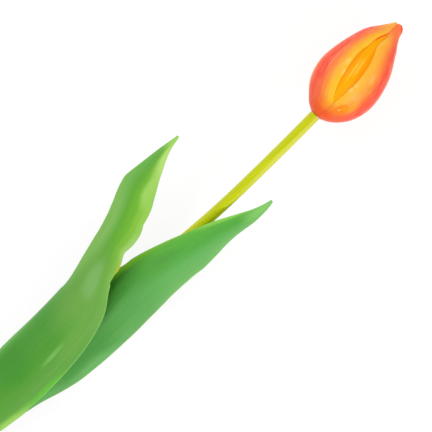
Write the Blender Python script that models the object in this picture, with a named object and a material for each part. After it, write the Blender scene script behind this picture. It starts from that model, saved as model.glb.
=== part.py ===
"""An artificial tulip, lying on its back on a table.

The flower is designed upright: its stem stands on the origin and rises along +Z, its front faces -Y and
its right side is +X. One empty then lays it down, so that the stem runs along +Y, the front looks up along
+Z, and the flower rests on its foot, the margins of its leaves and the belly of its bud.

Sizes are in metres, written through MM. Angles are in degrees until a function turns them to radians.
"""

import math
from collections import namedtuple

import bmesh
import bpy
from mathutils import Vector

MM = 0.001

# Fits between pieces
RUNNING_GAP = 0.35 * MM  # between a piece that moves and what it moves on
SEAT_GAP = 0.3 * MM  # between pieces that are glued or pressed together

# Stem: a plastic tube moulded over a steel wire, straight up to a gentle bend below the bud
NECK_HEIGHT = 350.0 * MM  # along the stem, from the foot's flat face to the base of the bud
STEM_RADIUS = 2.65 * MM
WIRE_RADIUS = 0.9 * MM
BEND_LENGTH = 82.0 * MM
BEND_ANGLE = 4.5  # degrees, towards the flower's left
BEND_STEPS = 8

# Neck peg: plugs into the top of the tube and carries the bud on a barbed pin
COLLAR_RADIUS = 3.1 * MM
COLLAR_THICKNESS = 1.2 * MM
SPIGOT_LENGTH = 6.0 * MM
PEG_RADIUS = 1.25 * MM
PEG_LENGTH = 11.0 * MM
BARB_HEIGHT = 0.25 * MM
BARB_PITCH = 3.0 * MM

# Bud: six petals on one egg-shaped profile
BUD_RADIUS = 18.1 * MM
BUD_HEIGHT = 63.0 * MM  # of the profile, above the collar
BELLY_SHARE = 0.365  # of the bud's height, where the profile is widest
PETAL_THICKNESS = 0.7 * MM
PETAL_FOOT = 0.8 * MM  # height on the profile where the petals start
PETAL_LAP = 1.1 * MM  # how far one margin of an outer petal stands out from the other
PETAL_GAP = 0.45 * MM  # between the outer and the inner petals
LEFT_TIP_DROP = 1.8 * MM  # from the profile's top down to the tip of each outer petal
RIGHT_TIP_DROP = 1.0 * MM
BACK_TIP_DROP = 2.8 * MM
INNER_TIP_DROP = 7.0 * MM
TIP_HEIGHT = 7.0 * MM  # of the rounded end of each petal
TIP_ANGLE = 8.0  # degrees that are left of a petal's half angle at its very tip
RIGHT_TIP_TURN = -25.0  # degrees that the tip of the right outer petal bows towards the front
PETAL_PITCH = 120.0  # degrees between the middles of the three outer petals, and of the three inner ones
INNER_HALF_ANGLE = 56.0
CLEFT_BOTTOM = 10.0 * MM  # above this height the margins of the outer petals part
CLEFT_TOP_DROP = 9.0 * MM  # from the profile's top down to where they meet again
CLEFT_ANGLE = 13.5  # degrees that each margin draws back at the widest place of the cleft
CLOSED_LAP_ANGLE = 4.0  # degrees that each margin passes its neighbour's above and below the cleft

# How the bud rises, in percent: the height, of the bud's height; the profile's radius there, and how far it
# leans to the left, of the bud's radius. The turn is how many degrees the seams between its petals have
# turned to the right.
BudRail = namedtuple("BudRail", "height radius lean turn")
BUD_RAILS = [
    BudRail(0, 21, 0, 6.0),
    BudRail(3.2, 38.7, 0, 6.0),
    BudRail(8, 59, 0, 5.0),
    BudRail(16, 81, 0.6, 4.0),
    BudRail(25.4, 94.5, 1.1, 2.0),
    BudRail(BELLY_SHARE * 100, 100, 2.2, 0.0),
    BudRail(49.2, 95, 3.9, -3.5),
    BudRail(63.5, 81.2, 7.2, -7.5),
    BudRail(79.4, 54.7, 12.7, -8.5),
    BudRail(88.9, 32.6, 10.5, 0.0),
    BudRail(95.2, 21.5, 7.7, 6.0),
    BudRail(100, 16.6, 4.4, 9.0),
]

# Heart of the flower: receptacle, pistil and stamens
RECEPTACLE_HEIGHT = 14.0 * MM
RECEPTACLE_RADIUS = 4.4 * MM
RECEPTACLE_TOP_RADIUS = 3.5 * MM
SOCKET_DEPTH_SPARE = 0.6 * MM
PISTIL_PIN_RADIUS = 0.6 * MM
PISTIL_PIN_LENGTH = 0.9 * MM
OVARY_RADIUS = 2.3 * MM
OVARY_FOOT_RADIUS = 1.85 * MM
OVARY_LENGTH = 15.0 * MM
STIGMA_RADIUS = 2.4 * MM
STIGMA_LOBE = 0.3  # share by which the three lobes of the stigma swell
STAMEN_COUNT = 6
FILAMENT_RADIUS = 0.4 * MM
FILAMENT_LENGTH = 10.0 * MM
FILAMENT_SPREAD = 18.0  # degrees that the stamens lean outwards
ANTHER_RADIUS = 1.1 * MM
ANTHER_LENGTH = 9.0 * MM

# Leaves: each is a moulded blade round a sleeve that slides and turns on the stem
SLEEVE_WALL = 1.0 * MM
SLEEVE_LENGTH = 14.0 * MM
LEAF_THICKNESS = 0.9 * MM
LEAF_WIRE_RADIUS = 0.5 * MM
LEAF_WIRE_SHARE = 0.72  # share of the blade's length that its wire runs
SHEATH_WRAP = 120.0  # degrees that the blade's base wraps round the stem to each side
SHEATH_RUN = 3.0 * MM  # how far above its sleeve the blade still keeps the sheath's shape
NEST_GAP = 0.85 * MM  # between the lower leaf's wire and the upper leaf's sheath, which stands behind it

LOWER_LEAF_HEIGHT = 58.0 * MM  # from the foot to the lower end of its sleeve
LOWER_LEAF_LENGTH = 233.0 * MM  # of the blade, along the stem
LOWER_LEAF_WIDTH = 29.5 * MM  # of the blade's wider half, from the midrib to the margin along its curve
LOWER_LEAF_FACING = -15.0  # degrees from the front towards the right

UPPER_LEAF_RISE = 36.0 * MM  # from the lower leaf's sleeve to its own
UPPER_LEAF_LENGTH = 211.5 * MM
UPPER_LEAF_WIDTH = 19.5 * MM
UPPER_LEAF_FACING = 35.0

SLEEVE_BORE = STEM_RADIUS + RUNNING_GAP
SLEEVE_RADIUS = SLEEVE_BORE + SLEEVE_WALL
SHEATH_RADIUS = SLEEVE_RADIUS + SEAT_GAP + LEAF_THICKNESS
NEST_RADIUS = SHEATH_RADIUS + NEST_GAP + 2 * LEAF_WIRE_RADIUS + SEAT_GAP + LEAF_THICKNESS
STEM_BORE = WIRE_RADIUS + SEAT_GAP
SPIGOT_RADIUS = STEM_BORE - RUNNING_GAP
SOCKET_RADIUS = PEG_RADIUS + BARB_HEIGHT + RUNNING_GAP

ROUND_SIDES = 24  # of a turned piece or a tube
WIRE_SIDES = 12
THREAD_SIDES = 8
SHARP_ANGLE = 35.0  # degrees between two faces, above which their edge isn't shaded smooth

# A station of a leaf: how high it is above the lower end of the sleeve, where the midrib is to the right of
# the stem's axis and in front of it, which way the blade faces (degrees from the front towards the right),
# how wide the blade is from the midrib to each margin along its curve, and the radius each half curls to.
Station = namedtuple("Station", "height right front facing left_width right_width left_curl right_curl")

# The stations above the sheath, in percent: height, right and front of the blade's length; widths and curls
# of its width.
LOWER_LEAF = [
    Station(29.6, -1.2, 4.8, -8, 85, 59, 47, 47),
    Station(41.2, -1.4, 5.6, -6, 100, 63, 60, 60),
    Station(53.2, -2.4, 6.2, -5, 93, 60, 58, 58),
    Station(60.9, -3.5, 6.5, -8, 76, 46, 54, 54),
    Station(66.5, -6.1, 6.8, -10, 50, 33, 47, 47),
    Station(73.0, -8.8, 7.3, -10, 36, 31, 51, 51),
    Station(79.4, -11.0, 7.9, -6, 35, 37, 61, 61),
    Station(84.1, -13.1, 8.3, 3, 37, 37, 61, 61),
    Station(86.3, -14.1, 8.4, 8, 34, 33, 61, 61),
    Station(91.0, -15.5, 8.6, 18, 22, 22, 54, 54),
    Station(95.7, -16.5, 8.6, 25, 12, 12, 47, 47),
    Station(100.0, -16.9, 8.4, 28, 2, 2, 47, 47),
]

UPPER_LEAF = [
    Station(17.0, 2.3, 2.7, 42, 72, 73, 37, 62),
    Station(28.4, 3.2, 2.4, 45, 74, 82, 44, 231),
    Station(40.7, 4.0, 2.5, 42, 77, 92, 54, 231),
    Station(53.0, 3.8, 2.6, 38, 91, 100, 72, 205),
    Station(63.4, 2.6, 3.2, 28, 83, 94, 103, 164),
    Station(73.8, 3.3, 3.1, 22, 65, 66, 113, 133),
    Station(84.2, 4.6, 2.7, 18, 40, 40, 113, 113),
    Station(92.7, 6.3, 2.4, 15, 19, 19, 103, 103),
    Station(97.4, 6.9, 2.1, 15, 8, 8, 103, 103),
    Station(100.0, 7.0, 2.0, 15, 3, 3, 103, 103),
]

LEAF_ROWS = 26
LEAF_COLUMNS = 12
PETAL_ROWS = 14
PETAL_COLUMNS = 10


def clear_scene():
    for old in list(bpy.data.objects):
        bpy.data.objects.remove(old)


def material(name, color, roughness, metallic=0.0):
    """A plain material from an sRGB hex colour."""
    made = bpy.data.materials.new(name)
    made.use_nodes = True
    channels = [int(color[i : i + 2], 16) / 255 for i in (0, 2, 4)]
    linear = [c / 12.92 if c <= 0.04045 else ((c + 0.055) / 1.055) ** 2.4 for c in channels]
    shader = made.node_tree.nodes["Principled BSDF"]
    shader.inputs["Base Color"].default_value = (*linear, 1.0)
    shader.inputs["Roughness"].default_value = roughness
    shader.inputs["Metallic"].default_value = metallic
    return made


def add_object(name, data, finish, parent):
    made = bpy.data.objects.new(name, data)
    data.materials.append(finish)
    bpy.context.scene.collection.objects.link(made)
    made.parent = parent
    return made


def add_empty(name, parent=None):
    made = bpy.data.objects.new(name, None)
    made.empty_display_size = 10 * MM
    bpy.context.scene.collection.objects.link(made)
    made.parent = parent
    return made


def mesh_from(bm, name):
    bmesh.ops.recalc_face_normals(bm, faces=bm.faces)
    mesh = bpy.data.meshes.new(name)
    bm.to_mesh(mesh)
    bm.free()
    mesh.shade_smooth()
    mesh.set_sharp_from_angle(angle=math.radians(SHARP_ANGLE))
    return mesh


def turned(name, outline, finish, parent):
    """A turned piece: the outline, a chain of (radius, height) from axis to axis or a closed ring of them."""
    bm = bmesh.new()
    points = [bm.verts.new((radius, 0, height)) for radius, height in outline]
    edges = [bm.edges.new(pair) for pair in zip(points, points[1:])]
    if outline[0][0] > 0:
        edges.append(bm.edges.new((points[-1], points[0])))
    bmesh.ops.spin(bm, geom=points + edges, axis=(0, 0, 1), angle=math.tau, steps=ROUND_SIDES, use_merge=True)
    bmesh.ops.remove_doubles(bm, verts=bm.verts, dist=0.001 * MM)
    return add_object(name, mesh_from(bm, name), finish, parent)


def rings_to_mesh(name, rings):
    """A closed body from rings of equally many points, with a face over each end."""
    bm = bmesh.new()
    loops = [[bm.verts.new(point) for point in ring] for ring in rings]
    for near, far in zip(loops, loops[1:]):
        for i in range(len(near)):
            j = (i + 1) % len(near)
            bm.faces.new((near[i], near[j], far[j], far[i]))
    bm.faces.new(loops[0])
    bm.faces.new(loops[-1])
    return mesh_from(bm, name)


def ring_round(centre, along, radius, sides):
    """The points of a circle round centre, square to the direction along."""
    turn = Vector((0, 0, 1)).rotation_difference(along).to_matrix()
    angles = [math.tau * i / sides for i in range(sides)]
    return [centre + turn @ Vector((radius * math.cos(a), radius * math.sin(a), 0)) for a in angles]


def directions(path):
    """The direction of the path at each of its points."""
    ends = [path[0], *path, path[-1]]
    return [(after - before).normalized() for before, after in zip(ends, ends[2:])]


def rod(name, path, radius, sides, finish, parent):
    """A round rod along a path."""
    rings = [ring_round(p, along, radius, sides) for p, along in zip(path, directions(path))]
    return add_object(name, rings_to_mesh(name, rings), finish, parent)


def tube(name, path, radius, bore, finish, parent):
    """A round tube along a path: out along its outer wall, back along its bore."""
    aims = directions(path)
    outer = [ring_round(p, along, radius, ROUND_SIDES) for p, along in zip(path, aims)]
    inner = [ring_round(p, along, bore, ROUND_SIDES) for p, along in zip(path, aims)]
    bm = bmesh.new()
    loops = [[bm.verts.new(point) for point in ring] for ring in outer + inner[::-1]]
    for near, far in zip(loops, loops[1:] + loops[:1]):
        for i in range(ROUND_SIDES):
            j = (i + 1) % ROUND_SIDES
            bm.faces.new((near[i], near[j], far[j], far[i]))
    return add_object(name, mesh_from(bm, name), finish, parent)


def shell(name, grid, thickness, finish, parent):
    """A thin sheet over a grid of points, whose face looks outwards, thickened to its inside."""
    bm = bmesh.new()
    rows = [[bm.verts.new(point) for point in row] for row in grid]
    for low, high in zip(rows, rows[1:]):
        for i in range(len(low) - 1):
            bm.faces.new((low[i], low[i + 1], high[i + 1], high[i]))
    mesh = bpy.data.meshes.new(name)
    bm.to_mesh(mesh)
    bm.free()
    mesh.shade_smooth()
    made = add_object(name, mesh, finish, parent)
    solidify = made.modifiers.new("Thickness", "SOLIDIFY")
    solidify.thickness = thickness
    solidify.offset = -1.0
    return made


def slopes_at(rails, at, i):
    """How fast each value changes at a rail: not at all where it turns back or starts to rest."""
    low, high = max(i - 1, 0), min(i + 1, len(at) - 1)
    slopes = []
    for before, here, after in zip(rails[low], rails[i], rails[high]):
        resting = low < i < high and (here - before) * (after - here) <= 0
        slopes.append(0.0 if resting else (after - before) / (at[high] - at[low]))
    return slopes


def along_rails(rails, at, place):
    """The values at a place between rails that stand at known places, on a smooth curve through them all."""
    i = min(max(j for j in range(len(at)) if j == 0 or at[j] <= place), len(at) - 2)
    span = at[i + 1] - at[i]
    t = min(max((place - at[i]) / span, 0.0), 1.0)
    ease = t * t * (3 - 2 * t)
    weights = (1 - ease, t * (1 - t) ** 2 * span, ease, -t * t * (1 - t) * span)
    ends = (rails[i], slopes_at(rails, at, i), rails[i + 1], slopes_at(rails, at, i + 1))
    return [sum(w * c for w, c in zip(weights, corner)) for corner in zip(*ends)]


def stem_point(distance):
    """The point of the stem's centreline that is this far along it from the foot."""
    straight = NECK_HEIGHT - BEND_LENGTH
    if distance <= straight:
        return Vector((0, 0, distance))
    radius = BEND_LENGTH / math.radians(BEND_ANGLE)
    turn = (distance - straight) / radius
    return Vector((-radius * (1 - math.cos(turn)), 0, straight + radius * math.sin(turn)))


def stem_path(end):
    """The stem's centreline from the foot to a distance: one straight run, then the bend."""
    straight = NECK_HEIGHT - BEND_LENGTH
    steps = [straight + (end - straight) * i / BEND_STEPS for i in range(BEND_STEPS + 1)]
    return [stem_point(distance) for distance in [0, *steps]]


def make_stem(plastic, steel, parent):
    """The tube and the wire in it, cut off square together at the foot."""
    tube_end = NECK_HEIGHT - COLLAR_THICKNESS - RUNNING_GAP
    tube("stem_tube", stem_path(tube_end), STEM_RADIUS, STEM_BORE, plastic, parent)
    wire_end = NECK_HEIGHT - COLLAR_THICKNESS - SPIGOT_LENGTH - RUNNING_GAP
    rod("stem_core_wire", stem_path(wire_end), WIRE_RADIUS, WIRE_SIDES, steel, parent)


def make_neck_peg(plastic, parent):
    """In the neck's own frame: its origin is the top of the collar, its +Z the bud's axis."""
    outline = [
        (0, -COLLAR_THICKNESS - SPIGOT_LENGTH),
        (SPIGOT_RADIUS, -COLLAR_THICKNESS - SPIGOT_LENGTH),
        (SPIGOT_RADIUS, -COLLAR_THICKNESS),
        (STEM_RADIUS, -COLLAR_THICKNESS),
        (COLLAR_RADIUS, -COLLAR_THICKNESS / 2),
        (COLLAR_RADIUS, 0),
        (PEG_RADIUS, 0),
    ]
    barb_count = int(PEG_LENGTH / BARB_PITCH) - 1
    for i in range(barb_count, 0, -1):
        foot = PEG_LENGTH - BARB_PITCH * i
        outline.append((PEG_RADIUS, foot))
        outline.append((PEG_RADIUS + BARB_HEIGHT, foot))
        outline.append((PEG_RADIUS, foot + BARB_PITCH / 2))
    chamfer = BARB_HEIGHT * 2
    outline.append((PEG_RADIUS, PEG_LENGTH - chamfer))
    outline.append((PEG_RADIUS - chamfer, PEG_LENGTH))
    outline.append((0, PEG_LENGTH))
    turned("neck_peg", outline, plastic, parent)


def bud_rail(height):
    """The bud's radius and lean, as real sizes, and its turn at a height above the collar."""
    percent = 100 * height / BUD_HEIGHT
    rail = BudRail(*along_rails(BUD_RAILS, [rail.height for rail in BUD_RAILS], percent))
    return BudRail(height, rail.radius * BUD_RADIUS / 100, rail.lean * BUD_RADIUS / 100, rail.turn)


def bud_profile(height, inset):
    """The bud's profile at a height, moved in along its own normal: (radius, height)."""
    step = 0.2 * MM
    slope = (bud_rail(height + step).radius - bud_rail(height - step).radius) / (2 * step)
    length = math.hypot(1, slope)
    return bud_rail(height).radius - inset / length, height + inset * slope / length


def bud_point(height, angle, inset):
    """A point of a petal: its height on the profile, its angle from the front to the right, its inset."""
    radius, rise = bud_profile(height, inset)
    rail = bud_rail(height)
    turn = math.radians(angle + rail.turn)
    return Vector((radius * math.sin(turn) - rail.lean, -radius * math.cos(turn), rise))


def tip_share(height, top):
    """0 up to the round end of a petal, 1 at its tip."""
    return min(max((height - top + TIP_HEIGHT) / TIP_HEIGHT, 0.0), 1.0)


def rounded_tip(half, height, top):
    """The half angle of a petal, narrowed to a round end over the last part of its height."""
    return TIP_ANGLE + (half - TIP_ANGLE) * math.sqrt(1 - tip_share(height, top) ** 4)


def outer_half_angle(height, top):
    """Half the angle that an outer petal spans: it laps, draws back at the cleft, and ends in a round tip."""
    meeting = PETAL_PITCH / 2
    cleft_share = (height - CLEFT_BOTTOM) / (BUD_HEIGHT - CLEFT_TOP_DROP - CLEFT_BOTTOM)
    half = meeting + CLOSED_LAP_ANGLE
    if height <= CLEFT_BOTTOM:
        half = meeting + CLOSED_LAP_ANGLE * (1 - height / CLEFT_BOTTOM)
    elif cleft_share < 1:
        half = meeting - CLEFT_ANGLE * math.sin(math.pi * cleft_share)
    return rounded_tip(half, height, top)


def petal_heights(top):
    """Heights of a petal's rows, closer together at its foot and its tip, where the profile turns fastest."""
    shares = [(1 - math.cos(math.pi * i / PETAL_ROWS)) / 2 for i in range(PETAL_ROWS + 1)]
    return [PETAL_FOOT + (top - PETAL_FOOT) * share for share in shares]


def petal_across():
    """How far each column of a petal is from its middle: -1 at its left margin, 1 at its right one."""
    return [2 * j / PETAL_COLUMNS - 1 for j in range(PETAL_COLUMNS + 1)]


def outer_petal(name, centre, tip_drop, tip_turn, finish, parent):
    """An outer petal. Its right margin stands out, its left margin tucks under the next petal's."""
    top = BUD_HEIGHT - tip_drop
    grid = []
    for height in petal_heights(top):
        half = outer_half_angle(height, top)
        middle = centre + tip_turn * tip_share(height, top) ** 2
        grid.append([bud_point(height, middle + v * half, PETAL_LAP * (1 - v) / 2) for v in petal_across()])
    shell(name, grid, PETAL_THICKNESS, finish, parent)


def inner_petal(name, centre, finish, parent):
    """An inner petal, inside the outer ones and clear of its two neighbours."""
    top = BUD_HEIGHT - INNER_TIP_DROP
    inset = PETAL_LAP + PETAL_THICKNESS + PETAL_GAP
    grid = []
    for height in petal_heights(top):
        half = rounded_tip(INNER_HALF_ANGLE, height, top)
        grid.append([bud_point(height, centre + v * half, inset) for v in petal_across()])
    shell(name, grid, PETAL_THICKNESS, finish, parent)


def make_receptacle(plastic, parent):
    """The bud's seat: a blind socket for the neck peg below, a hole for the pistil's pin above."""
    seat_inset = PETAL_LAP + 2 * PETAL_THICKNESS + PETAL_GAP + SEAT_GAP
    waist_radius, waist_height = bud_profile(PETAL_FOOT, seat_inset)
    waist_radius -= SEAT_GAP
    waist_height += SEAT_GAP
    socket_top = PEG_LENGTH + SOCKET_DEPTH_SPARE
    pin_hole = PISTIL_PIN_RADIUS + SEAT_GAP
    turned(
        "receptacle",
        [
            (0, socket_top),
            (SOCKET_RADIUS, socket_top),
            (SOCKET_RADIUS, SEAT_GAP),
            (waist_radius, SEAT_GAP),
            (waist_radius, waist_height),
            (RECEPTACLE_RADIUS, waist_height + (RECEPTACLE_RADIUS - waist_radius)),
            (RECEPTACLE_RADIUS, (waist_height + RECEPTACLE_HEIGHT) / 2),
            (RECEPTACLE_TOP_RADIUS, RECEPTACLE_HEIGHT),
            (pin_hole, RECEPTACLE_HEIGHT),
            (pin_hole, RECEPTACLE_HEIGHT - PISTIL_PIN_LENGTH - SEAT_GAP),
            (0, RECEPTACLE_HEIGHT - PISTIL_PIN_LENGTH - SEAT_GAP),
        ],
        plastic,
        parent,
    )


def make_pistil(plastic, parent):
    """A pin, an ovary and a stigma of three lobes, moulded in one."""
    foot = RECEPTACLE_HEIGHT + SEAT_GAP
    top = foot + OVARY_LENGTH
    rows = [
        (PISTIL_PIN_RADIUS, RECEPTACLE_HEIGHT - PISTIL_PIN_LENGTH, 0),
        (PISTIL_PIN_RADIUS, foot, 0),
        (OVARY_FOOT_RADIUS, foot, 0),
        (OVARY_RADIUS, foot + OVARY_LENGTH * 0.4, 0),
        (OVARY_RADIUS * 0.85, foot + OVARY_LENGTH * 0.8, 0),
        (OVARY_RADIUS * 0.6, top, STIGMA_LOBE / 2),
        (STIGMA_RADIUS, top + STIGMA_RADIUS * 0.5, STIGMA_LOBE),
        (STIGMA_RADIUS * 0.9, top + STIGMA_RADIUS, STIGMA_LOBE),
        (STIGMA_RADIUS * 0.4, top + STIGMA_RADIUS * 1.2, STIGMA_LOBE),
    ]
    rings = []
    for radius, height, lobe in rows:
        ring = []
        for i in range(ROUND_SIDES):
            angle = math.tau * i / ROUND_SIDES
            reach = radius * (1 + lobe * math.cos(3 * angle))
            ring.append(Vector((reach * math.cos(angle), reach * math.sin(angle), height)))
        rings.append(ring)
    add_object("pistil", rings_to_mesh("pistil", rings), plastic, parent)


def make_stamens(thread, pollen, parent):
    """Six filaments round the pistil, each with an anther on its end."""
    ring_radius = OVARY_FOOT_RADIUS + SEAT_GAP + FILAMENT_RADIUS
    spread = math.radians(FILAMENT_SPREAD)
    foot_height = RECEPTACLE_HEIGHT + SEAT_GAP + FILAMENT_RADIUS * math.sin(spread)
    for i in range(STAMEN_COUNT):
        angle = math.tau * (i + 0.5) / STAMEN_COUNT
        outwards = Vector((math.cos(angle), math.sin(angle), 0))
        foot = outwards * ring_radius + Vector((0, 0, foot_height))
        along = outwards * math.sin(spread) + Vector((0, 0, math.cos(spread)))
        path = [foot + along * FILAMENT_LENGTH * share for share in (0, 0.5, 1)]
        rod(f"filament_{i + 1}", path, FILAMENT_RADIUS, THREAD_SIDES, thread, parent)
        start = foot + along * (FILAMENT_LENGTH + SEAT_GAP)
        rings = []
        for share, width in ((0, 0.45), (0.12, 0.85), (0.45, 1.0), (0.8, 0.8), (1, 0.35)):
            centre = start + along * ANTHER_LENGTH * share
            rings.append(ring_round(centre, along, ANTHER_RADIUS * width, THREAD_SIDES))
        add_object(f"anther_{i + 1}", rings_to_mesh(f"anther_{i + 1}", rings), pollen, parent)


def sheath_station(height, facing, radius=SHEATH_RADIUS):
    """A station where the blade is a sheath, concentric with the stem."""
    turn = math.radians(facing)
    right = radius * math.sin(turn)
    front = radius * math.cos(turn)
    width = radius * math.radians(SHEATH_WRAP)
    return Station(height, right, front, facing, width, width, radius, radius)


def sheath_stations(facing):
    """The stations of the sheath that is glued round the leaf's own sleeve."""
    return [sheath_station(height, facing) for height in (0.0, SLEEVE_LENGTH, SLEEVE_LENGTH + SHEATH_RUN)]


def real_station(drawn, length, width):
    """A drawn station at its real size."""
    places = [share * length / 100 for share in drawn[:3]]
    spans = [share * width / 100 for share in drawn[4:]]
    return Station(*places, drawn.facing, *spans)


def leaf_rows(sheath, drawn, length, width):
    """The rows of a leaf, spread evenly on a smooth curve through its sheath and the drawn stations."""
    stations = sheath + [real_station(station, length, width) for station in drawn]
    at = [0.0]
    for low, high in zip(stations, stations[1:]):
        at.append(at[-1] + math.dist(low[:3], high[:3]))
    return [Station(*along_rails(stations, at, at[-1] * row / LEAF_ROWS)) for row in range(LEAF_ROWS + 1)]


def leaf_frames(stations):
    """For each station: the midrib's point, the direction to the right margin and the outward normal."""
    ribs = [Vector((s.right, -s.front, s.height)) for s in stations]
    frames = []
    for station, rib, along in zip(stations, ribs, directions(ribs)):
        facing = math.radians(station.facing)
        outward = Vector((math.sin(facing), -math.cos(facing), 0))
        outward = (outward - along * outward.dot(along)).normalized()
        frames.append((rib, along.cross(outward), outward))
    return frames


def leaf_grid(stations):
    """The outer face of a leaf: each half curls away from the midrib on an arc."""
    grid = []
    for station, (rib, right, outward) in zip(stations, leaf_frames(stations)):
        row = []
        for j in range(LEAF_COLUMNS + 1):
            v = 2 * j / LEAF_COLUMNS - 1
            side = math.copysign(1, v)
            width, curl = (station.left_width, station.left_curl)
            if v > 0:
                width, curl = (station.right_width, station.right_curl)
            turn = abs(v) * width / curl
            row.append(rib + right * side * curl * math.sin(turn) - outward * curl * (1 - math.cos(turn)))
        grid.append(row)
    return grid


def make_leaf(label, rows, leaf_plastic, sleeve_plastic, steel, seat):
    """A leaf: the sleeve on the stem, the blade with its base glued round it, the wire along its midrib."""
    sleeve_ends = [Vector((0, 0, 0)), Vector((0, 0, SLEEVE_LENGTH))]
    tube(f"{label}_leaf_sleeve", sleeve_ends, SLEEVE_RADIUS, SLEEVE_BORE, sleeve_plastic, seat)
    shell(f"{label}_leaf_blade", leaf_grid(rows), LEAF_THICKNESS, leaf_plastic, seat)
    inset = LEAF_THICKNESS + SEAT_GAP + LEAF_WIRE_RADIUS
    path = []
    for station, (rib, _, outward) in zip(rows, leaf_frames(rows)):
        if SLEEVE_LENGTH + SEAT_GAP <= station.height <= rows[-1].height * LEAF_WIRE_SHARE:
            path.append(rib - outward * inset)
    rod(f"{label}_leaf_wire", path, LEAF_WIRE_RADIUS, THREAD_SIDES, steel, seat)


def main():
    clear_scene()
    stem_green = material("stem_polyethylene", "c3cf1d", 0.4)
    leaf_green = material("leaf_polyethylene", "5aaa46", 0.45)
    coral = material("petal_coral", "fb6a4c", 0.5)
    amber = material("petal_amber", "fdab1e", 0.5)
    steel = material("galvanised_wire", "a9adb0", 0.4, metallic=1.0)
    yellow = material("pistil_yellow", "dfd98a", 0.55)
    pollen = material("pollen_brown", "4a2a1c", 0.8)

    laid_down = add_empty("laid_down")
    belly = BUD_RADIUS - PETAL_LAP / 2
    tilt = math.atan((belly - STEM_RADIUS) / (NECK_HEIGHT + BUD_HEIGHT * BELLY_SHARE))
    laid_down.rotation_euler = (tilt - math.pi / 2, 0, 0)

    make_stem(stem_green, steel, laid_down)
    neck = add_empty("neck_axis", laid_down)
    neck.location = stem_point(NECK_HEIGHT)
    neck.rotation_euler = (0, -math.radians(BEND_ANGLE), 0)
    make_neck_peg(stem_green, neck)

    make_receptacle(stem_green, neck)
    make_pistil(yellow, neck)
    make_stamens(yellow, pollen, neck)
    outer_petal("outer_petal_left", -PETAL_PITCH / 2, LEFT_TIP_DROP, 0.0, coral, neck)
    outer_petal("outer_petal_right", PETAL_PITCH / 2, RIGHT_TIP_DROP, RIGHT_TIP_TURN, coral, neck)
    outer_petal("outer_petal_back", PETAL_PITCH * 1.5, BACK_TIP_DROP, 0.0, coral, neck)
    inner_petal("inner_petal_front", 0.0, amber, neck)
    inner_petal("inner_petal_right", PETAL_PITCH, amber, neck)
    inner_petal("inner_petal_left", -PETAL_PITCH, amber, neck)

    lower_seat = add_empty("lower_leaf_seat", laid_down)
    lower_seat.location = (0, 0, LOWER_LEAF_HEIGHT)
    lower_sheath = sheath_stations(LOWER_LEAF_FACING)
    lower_sheath.append(sheath_station(UPPER_LEAF_RISE, LOWER_LEAF_FACING, NEST_RADIUS))
    lower_rows = leaf_rows(lower_sheath, LOWER_LEAF, LOWER_LEAF_LENGTH, LOWER_LEAF_WIDTH)
    make_leaf("lower", lower_rows, leaf_green, stem_green, steel, lower_seat)

    upper_seat = add_empty("upper_leaf_seat", laid_down)
    upper_seat.location = (0, 0, LOWER_LEAF_HEIGHT + UPPER_LEAF_RISE)
    upper_sheath = sheath_stations(UPPER_LEAF_FACING)
    upper_rows = leaf_rows(upper_sheath, UPPER_LEAF, UPPER_LEAF_LENGTH, UPPER_LEAF_WIDTH)
    make_leaf("upper", upper_rows, leaf_green, stem_green, steel, upper_seat)


main()
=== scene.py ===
"""An artificial tulip lying on a white table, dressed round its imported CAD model.

The sections follow the flower as it is put together: the stem and its wire, the neck peg, the heart of the
flower, the inner and outer petals, the leaf sleeves, the leaves and their wires.
"""

import math

import bmesh
import bpy
from mathutils import Matrix, Vector


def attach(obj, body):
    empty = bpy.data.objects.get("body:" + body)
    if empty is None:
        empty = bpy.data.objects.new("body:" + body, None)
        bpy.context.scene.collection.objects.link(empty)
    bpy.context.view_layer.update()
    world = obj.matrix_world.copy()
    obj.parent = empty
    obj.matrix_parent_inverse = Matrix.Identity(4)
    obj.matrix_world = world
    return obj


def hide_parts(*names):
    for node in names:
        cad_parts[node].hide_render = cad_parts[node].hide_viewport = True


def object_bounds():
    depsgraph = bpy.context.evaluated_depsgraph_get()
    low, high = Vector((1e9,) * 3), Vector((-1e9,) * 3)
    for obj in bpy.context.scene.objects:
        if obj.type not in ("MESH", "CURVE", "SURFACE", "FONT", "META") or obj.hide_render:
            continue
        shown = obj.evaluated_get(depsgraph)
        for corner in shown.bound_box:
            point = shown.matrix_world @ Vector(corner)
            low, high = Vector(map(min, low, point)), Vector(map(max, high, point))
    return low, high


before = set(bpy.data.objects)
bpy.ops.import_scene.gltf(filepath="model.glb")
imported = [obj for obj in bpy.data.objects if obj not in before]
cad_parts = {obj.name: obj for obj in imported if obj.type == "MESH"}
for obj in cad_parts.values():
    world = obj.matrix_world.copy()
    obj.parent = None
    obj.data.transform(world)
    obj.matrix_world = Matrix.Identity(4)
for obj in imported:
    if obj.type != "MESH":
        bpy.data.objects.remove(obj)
cad_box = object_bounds()

# Viewpoint: a long lens that looks straight down on the flower from 0.8 m, turned so that the stem climbs
# from the lower left to the upper right of the picture.
STEM_SLOPE = 41.2  # degrees that the stem climbs in the picture
EYE = (0.0021, 0.2791, 0.81)
LENS_LENGTH = 132.7  # millimetres, on a frame 36 mm wide


def put(data):
    """A new object in the scene, named like its data."""
    thing = bpy.data.objects.new(data.name, data)
    bpy.context.scene.collection.objects.link(thing)
    return thing


lens = bpy.data.cameras.new("viewpoint")
lens.sensor_width = 36
lens.lens = LENS_LENGTH
lens.clip_start = 0.01
camera = put(lens)
camera.location = EYE
camera.rotation_euler = (0, 0, math.radians(90 - STEM_SLOPE))
bpy.context.scene.camera = camera
bpy.context.scene.view_settings.view_transform = "Standard"


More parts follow.
